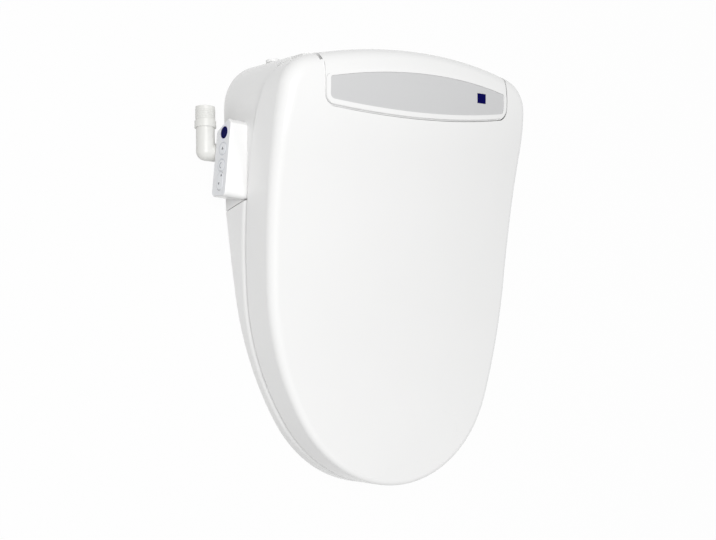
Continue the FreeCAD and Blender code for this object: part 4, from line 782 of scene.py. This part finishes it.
@dataclass
class Solids:
    """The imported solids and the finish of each."""

    nodes: dict[str, bpy.types.Object]
    slots: dict[Slot, list[str]] = field(
        default_factory=lambda: {
            Slot.SHELL: [
                "lid", "seat_ring", "seat_base", "upper_housing", "base_tray", "trim_rim",
                "control_box", "nozzle_cylinders", "nozzle_shroud", "rear_wash_nozzle",
                "front_wash_nozzle", "heater_tank", "filter_cartridge", "drain_plug",
                "inlet_spigot", "outlet_pipe", "blower_housing",
            ],
            Slot.INLAY: ["silver_panel"],
            Slot.LABEL: ["control_label"],
            Slot.KEY: ["up_button", "stop_button", "adjust_rocker"],
            Slot.BLUE: ["status_window", "power_button"],
            Slot.IVORY: ["inlet_elbow"],
            Slot.GREY_RUBBER: ["lid_bumpers", "seat_bumpers", "housing_feet", "water_hose"],
            Slot.BLACK_RUBBER: ["cord_gland"],
            Slot.STEEL: ["housing_screws", "rocker_pin", "inlet_strainer", "fan_motor"],
            Slot.DARK: [
                "lid_damper", "seat_damper", "fan_impeller", "wash_pump", "solenoid_valve",
                "transformer", "lid_shaft", "seat_shaft",
            ],
            Slot.PLATE: ["mounting_plate"],
            Slot.BOARD: ["control_board", "display_board", "button_board"],
            Slot.FOIL: ["seat_heater"],
            Slot.CARBON: ["filter_media"],
        }
    )

    def dress(self, palette: Palette) -> None:
        """Dresses every solid.

        Args:
            palette: The finishes.
        """
        for slot, names in self.slots.items():
            for name in names:
                palette.dress(self.nodes[name], slot)
        named = {name for names in self.slots.values() for name in names}
        missing = sorted(set(self.nodes) - named)
        LOG.info("solids dressed: %d, without a finish: %s", len(named), missing)


@dataclass
class Bench:
    """Where new pieces are finished: mesh, material, slot and body."""

    palette: Palette
    made: int = 0

    def keep(
        self,
        name: str,
        form: bmesh.types.BMesh,
        place: Matrix,
        body: Body,
        slot: Slot,
        finish: bpy.types.Material | None = None,
    ) -> None:
        """Turns a form into a piece of the seat.

        Args:
            name: The piece's name.
            form: Its form, in millimetres in its own frame.
            place: Its frame in the shared frame, in metres.
            body: The body that it rides on.
            slot: The slot of its finish.
            finish: Its own finish, if it isn't the slot's.
        """
        bmesh.ops.transform(form, matrix=place @ Matrix.Scale(MM, 4), verts=form.verts)
        bmesh.ops.remove_doubles(form, verts=form.verts, dist=MERGE_MM * MM)
        bmesh.ops.recalc_face_normals(form, faces=form.faces)
        mesh = bpy.data.meshes.new(name)
        form.to_mesh(mesh)
        form.free()
        mesh.materials.append(finish or self.palette.finishes[slot])
        piece = bpy.data.objects.new(name, mesh)
        bpy.context.scene.collection.objects.link(piece)
        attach(piece, body.value)
        self.made += 1
        LOG.info("piece %s: %d faces", name, len(mesh.polygons))


def arc_band(
    radius: float,
    width: float,
    low: float,
    high: float,
    sweep_deg: float = 360.0,
    start_deg: float = 0.0,
) -> bmesh.types.BMesh:
    """Flat ring, or part of one, about Z.

    Args:
        radius: Middle radius.
        width: Width of the band.
        low: Lower height.
        high: Upper height.
        sweep_deg: Angle that it goes round.
        start_deg: Angle at which it starts.

    Returns:
        The form.
    """
    form = bmesh.new()
    inner, outer = radius - width / 2, radius + width / 2
    corners = ((inner, low), (outer, low), (outer, high), (inner, high))
    ring = [form.verts.new((x, 0.0, z)) for x, z in corners]
    edges = [form.edges.new((ring[i - 1], ring[i])) for i in range(len(ring))]
    whole = sweep_deg >= 360.0
    steps = max(LEAST_ARC_STEPS, round(sweep_deg / ARC_STEP_DEG))
    bmesh.ops.spin(
        form, geom=ring + edges, cent=(0, 0, 0), axis=(0, 0, 1), angle=math.radians(sweep_deg),
        steps=steps, use_merge=whole,
    )
    if not whole:
        bmesh.ops.holes_fill(form, edges=form.edges, sides=len(ring))
    turn = Matrix.Rotation(math.radians(start_deg), 4, "Z")
    bmesh.ops.transform(form, matrix=turn, verts=form.verts)
    return form


def raised(form: bmesh.types.BMesh, height: float) -> bmesh.types.BMesh:
    """Gives flat faces a height along Z.

    Args:
        form: The flat form.
        height: Its new height.

    Returns:
        The same form.
    """
    grown = bmesh.ops.extrude_face_region(form, geom=form.faces[:], use_keep_orig=True)
    tops = [item for item in grown["geom"] if isinstance(item, bmesh.types.BMVert)]
    bmesh.ops.translate(form, vec=(0, 0, height), verts=tops)
    return form


@dataclass
class KeyPrint:
    """Printed icons and rings on the control box and its keys, in millimetres along the box."""

    bench: Bench
    corner: Vector = field(default_factory=lambda: Vector((-205.8, -52.0, 36.2)))
    turn_deg: float = -7.8
    tilt_deg: float = 4.4
    rise: float = 1.6
    key_proud: float = 0.3
    ink: float = 0.06
    power_at: float = 28.2
    up_at: float = 11.0
    stop_at: float = -7.0
    rocker_at: float = -23.8
    ring_radius: float = 7.1
    ring_width: float = 0.55
    halo_radius: float = 7.7
    halo_width: float = 1.6
    icon_radius: float = 2.2
    small_icon: float = 0.8
    crescent_radius: float = 2.8
    crescent_width: float = 1.0
    crescent_arc: tuple[float, float] = (190.0, -5.0)
    raise_at: tuple[float, float] = (5.9, 2.0)
    lower_at: tuple[float, float] = (-2.4, -1.8)

    def build(self) -> None:
        """Builds every mark."""
        palette = self.bench.palette
        face, key = 0.0, -self.key_proud
        stations = (self.power_at, self.up_at, self.stop_at)
        power, up, stop = ((along, self.rise) for along in stations)
        halo = arc_band(self.halo_radius, self.halo_width, 0.0, self.ink)
        self._print("power_halo", halo, power, face, Body.HOUSING, palette.halo_ink)
        for name, place in (("up_ring", up), ("stop_ring", stop)):
            band = arc_band(self.ring_radius, self.ring_width, 0.0, self.ink)
            self._print(name, band, place, face, Body.HOUSING, palette.pale_ink)
        self._print("up_icon", self._arrow(0.0), up, key, Body.UP, palette.dark_ink)
        crescent = arc_band(
            self.crescent_radius, self.crescent_width, 0.0, self.ink, *self.crescent_arc
        )
        self._print("stop_icon", crescent, stop, key, Body.STOP, palette.grey_ink)
        places = (("raise_icon", self.raise_at, 0.0), ("lower_icon", self.lower_at, 180.0))
        for name, (along, rise), turn in places:
            arrow = self._arrow(turn, self.small_icon)
            place = (self.rocker_at + along, self.rise + rise)
            self._print(name, arrow, place, key, Body.ROCKER, palette.dark_ink)

    def _arrow(self, turn_deg: float, share: float = 1.0) -> bmesh.types.BMesh:
        """Triangle that points along the box.

        Args:
            turn_deg: Its turn.
            share: Its size as a share of the full icon.

        Returns:
            The form.
        """
        form = bmesh.new()
        bmesh.ops.create_circle(form, cap_ends=True, segments=3, radius=self.icon_radius * share)
        tip = max(form.verts, key=lambda corner: corner.co.y)
        ahead = math.pi / 2 - math.atan2(tip.co.y, tip.co.x)
        turn = Matrix.Rotation(ahead + math.radians(turn_deg - 90.0), 4, "Z")
        bmesh.ops.transform(form, matrix=turn, verts=form.verts)
        return raised(form, self.ink)

    def _print(
        self,
        name: str,
        form: bmesh.types.BMesh,
        at: tuple[float, float],
        depth: float,
        body: Body,
        finish: bpy.types.Material,
    ) -> None:
        """Lays a flat form on the box's outer face.

        Args:
            name: The mark's name.
            form: Its form, flat on Z, whose X runs along the box.
            at: Its place along the box and above its middle line.
            depth: Height of the face that carries it, towards the box's inside.
            body: The body that carries it.
            finish: Its ink.
        """
        turn = Matrix.Rotation(math.radians(self.turn_deg), 4, "Z") @ Matrix.Rotation(
            math.radians(self.tilt_deg), 4, "X"
        )
        frame = Matrix.Translation(self.corner * MM) @ turn
        outwards = Matrix(((0, 0, -1), (1, 0, 0), (0, -1, 0))).to_4x4()
        spot = Matrix.Translation(Vector((depth, at[0], at[1])) * MM)
        self.bench.keep(name, form, frame @ spot @ outwards, body, Slot.LABEL, finish)


@dataclass
class SpoutThread:
    """Screw thread on the spout of the water inlet, in millimetres."""

    bench: Bench
    corner: Vector = field(default_factory=lambda: Vector((-179.16, -42.5, 12.2)))
    wall_turn_deg: float = 4.5
    out: float = 30.8
    first: float = 34.6
    turns: int = 6
    pitch: float = 1.814
    root_radius: float = 10.42
    ridge: float = 0.42
    flank_share: float = 0.32
    turn_steps: int = 48

    def build(self) -> None:
        """Builds the ridge of the thread as one helix."""
        form = bmesh.new()
        half, crest = self.pitch * self.flank_share, self.root_radius + self.ridge
        profile = ((self.root_radius, -half), (crest, 0.0), (self.root_radius, half))
        ring = [form.verts.new((x, 0.0, z)) for x, z in profile]
        edges = [form.edges.new((ring[i - 1], ring[i])) for i in range(len(ring))]
        steps = self.turns * self.turn_steps
        climb = (0, 0, self.pitch * self.turns / steps)
        bmesh.ops.spin(
            form, geom=ring + edges, cent=(0, 0, 0), axis=(0, 0, 1), dvec=climb,
            angle=math.tau * self.turns, steps=steps,
        )
        bmesh.ops.holes_fill(form, edges=form.edges, sides=len(ring))
        self.bench.keep("spout_thread", form, self._frame(), Body.ELBOW, Slot.IVORY)

    def _frame(self) -> Matrix:
        """Frame whose Z runs along the spout, from where its thread starts."""
        turn = math.radians(180.0 - self.wall_turn_deg)
        wall = Matrix.Translation(self.corner * MM) @ Matrix.Rotation(turn, 4, "Z")
        along = Matrix.Rotation(math.radians(90.0), 4, "X")
        return wall @ Matrix.Translation(Vector((self.out, -self.first, 0.0)) * MM) @ along


@dataclass
class SeamLip:
    """White lip of the housing in the gap between its brow and the lid, in millimetres."""

    bench: Bench
    lid: bpy.types.Object
    housing: bpy.types.Object
    half: float = 136.6
    front: float = 17.0
    front_radius: float = 974.0
    corner: float = 12.0
    side_reach: float = 40.0
    side_steps: int = 8
    inner_edge: float = -0.15
    outer_edge: float = 0.9
    below: float = 0.8
    thick: float = 0.8
    front_steps: int = 24
    corner_steps: int = 14
    probe: float = 3.2
    probe_from_m: float = 1.0

    @property
    def middle_y(self) -> float:
        """Place along the seat of the front arc's centre."""
        return self.front_radius - self.front

    @property
    def corner_x(self) -> float:
        """Place across the seat of the corner's centre."""
        return self.half - self.corner

    @property
    def turn(self) -> float:
        """Half of the front arc's angle."""
        return math.asin(self.corner_x / (self.front_radius - self.corner))

    @property
    def corner_y(self) -> float:
        """Place along the seat of the corner's centre."""
        return self.middle_y - (self.front_radius - self.corner) * math.cos(self.turn)

    def build(self) -> None:
        """Sweeps the lip along the brow's edge and lays it under the roof."""
        form = bmesh.new()
        top, low = -self.below, -self.below - self.thick
        inner, outer = self.inner_edge, self.outer_edge
        corners = ((inner, low), (outer, low), (outer, top), (inner, top))
        ring = [form.verts.new((0.0, -self.front - out, high)) for out, high in corners]
        edges = [form.edges.new((ring[i - 1], ring[i])) for i in range(len(ring))]
        up = (0, 0, 1)
        arc = bmesh.ops.spin(
            form, geom=ring + edges, cent=(0, self.middle_y, 0), axis=up, angle=self.turn,
            steps=self.front_steps,
        )
        bend = bmesh.ops.spin(
            form, geom=arc["geom_last"], cent=(self.corner_x, self.corner_y, 0), axis=up,
            angle=math.pi / 2 - self.turn, steps=self.corner_steps,
        )
        last = bend["geom_last"]
        for _ in range(self.side_steps):
            rim = [item for item in last if isinstance(item, bmesh.types.BMEdge)]
            last = bmesh.ops.extrude_edge_only(form, edges=rim)["geom"]
            moved = [item for item in last if isinstance(item, bmesh.types.BMVert)]
            bmesh.ops.translate(form, vec=(0, self.side_reach / self.side_steps, 0), verts=moved)
        whole = form.verts[:] + form.edges[:] + form.faces[:]
        bmesh.ops.mirror(form, geom=whole, axis="X", merge_dist=MERGE_MM)
        bmesh.ops.holes_fill(form, edges=form.edges, sides=len(ring))
        for vert in form.verts:
            vert.co.z += self._roof_at(vert.co)
        self.bench.keep("seam_lip", form, Matrix(), Body.HOUSING, Slot.SHELL)

    def _outwards(self, spot: Vector) -> Vector:
        """Direction from the brow's edge towards the lid.

        Args:
            spot: Place on the edge.

        Returns:
            The direction.
        """
        side = math.copysign(1.0, spot.x)
        if spot.y > self.corner_y:
            return Vector((side, 0.0, 0.0))
        away = abs(spot.x)
        if away < self.front_radius * math.sin(self.turn):
            return Vector((spot.x, spot.y - self.middle_y, 0.0)).normalized()
        return Vector((side * (away - self.corner_x), spot.y - self.corner_y, 0.0)).normalized()

    def _roof_at(self, spot: Vector) -> float:
        """Height of the roof beside a place on the brow's edge.

        Args:
            spot: Place on the edge.

        Returns:
            The height, in millimetres.
        """
        for node, side in ((self.lid, 1.0), (self.housing, -1.0)):
            start = (spot + self._outwards(spot) * self.probe * side) * MM
            start.z = self.probe_from_m
            hit, found, _, _ = node.ray_cast(start, Vector((0, 0, -1)))
            if hit:
                return found.z / MM
        LOG.warning("seam_lip: no roof beside %s", tuple(spot))
        return 0.0


@dataclass
class ScrewRecessShade:
    """Painted shade: charcoal crosses for the cross recesses in the screw heads under the tray."""

    bench: Bench
    places: tuple[tuple[float, float], ...] = ((126.0, -93.0), (117.0, 46.0))
    face: float = 3.2
    span: float = 4.2
    depth: float = 0.05

    def build(self) -> None:
        """Builds the four painted-shade crosses as one piece."""
        form = bmesh.new()
        for x, y in self.places:
            for side in (-1, 1):
                self._cross(form, side * x, y)
        # Painted shade: the crosses are charcoal plastic standing in for the dark of the recesses.
        self.bench.keep("screw_recesses", form, Matrix(), Body.HOUSING, Slot.DARK)

    def _cross(self, form: bmesh.types.BMesh, x: float, y: float) -> None:
        """Adds a painted-shade cross at a screw's place.

        Args:
            form: The form that gets it.
            x: Its place across the seat.
            y: Its place along the seat.
        """
        grid = bmesh.ops.create_grid(form, x_segments=3, y_segments=3, size=self.span / 2)
        arm = self.span / 3
        corners = {vert for vert in grid["verts"] if min(abs(vert.co.x), abs(vert.co.y)) > arm}
        faces = {face for vert in grid["verts"] for face in vert.link_faces}
        corner_faces = [face for face in faces if corners & set(face.verts)]
        bmesh.ops.delete(form, geom=corner_faces, context="FACES")
        verts = [vert for vert in grid["verts"] if vert.is_valid and vert.link_faces]
        kept = list({face for vert in verts for face in vert.link_faces})
        grown = bmesh.ops.extrude_face_region(form, geom=kept, use_keep_orig=True)
        tops = [item for item in grown["geom"] if isinstance(item, bmesh.types.BMVert)]
        bmesh.ops.translate(form, vec=(0, 0, -self.depth), verts=tops)
        bmesh.ops.translate(form, vec=(x, y, self.face), verts=verts + tops)


def main() -> None:
    """Builds the scene in order and reports each step."""
    logging.basicConfig(level=logging.INFO, format="%(name)s: %(message)s")
    bpy.context.scene.view_settings.view_transform = "Standard"
    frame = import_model()
    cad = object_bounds()
    for name in ("Cube", "Light", "Camera"):
        if name in bpy.data.objects:
            bpy.data.objects.remove(bpy.data.objects[name])
    palette = Palette()
    Solids(frame["nodes"]).dress(palette)
    bench = Bench(palette)
    for kind in (KeyPrint, SpoutThread, ScrewRecessShade):
        kind(bench).build()
    SeamLip(bench, frame["nodes"]["lid"], frame["nodes"]["upper_housing"]).build()
    LOG.info("new pieces: %d", bench.made)
    Studio().build(cad[0].z)
    PhotoCamera().place()


if __name__ == "__main__":
    main()
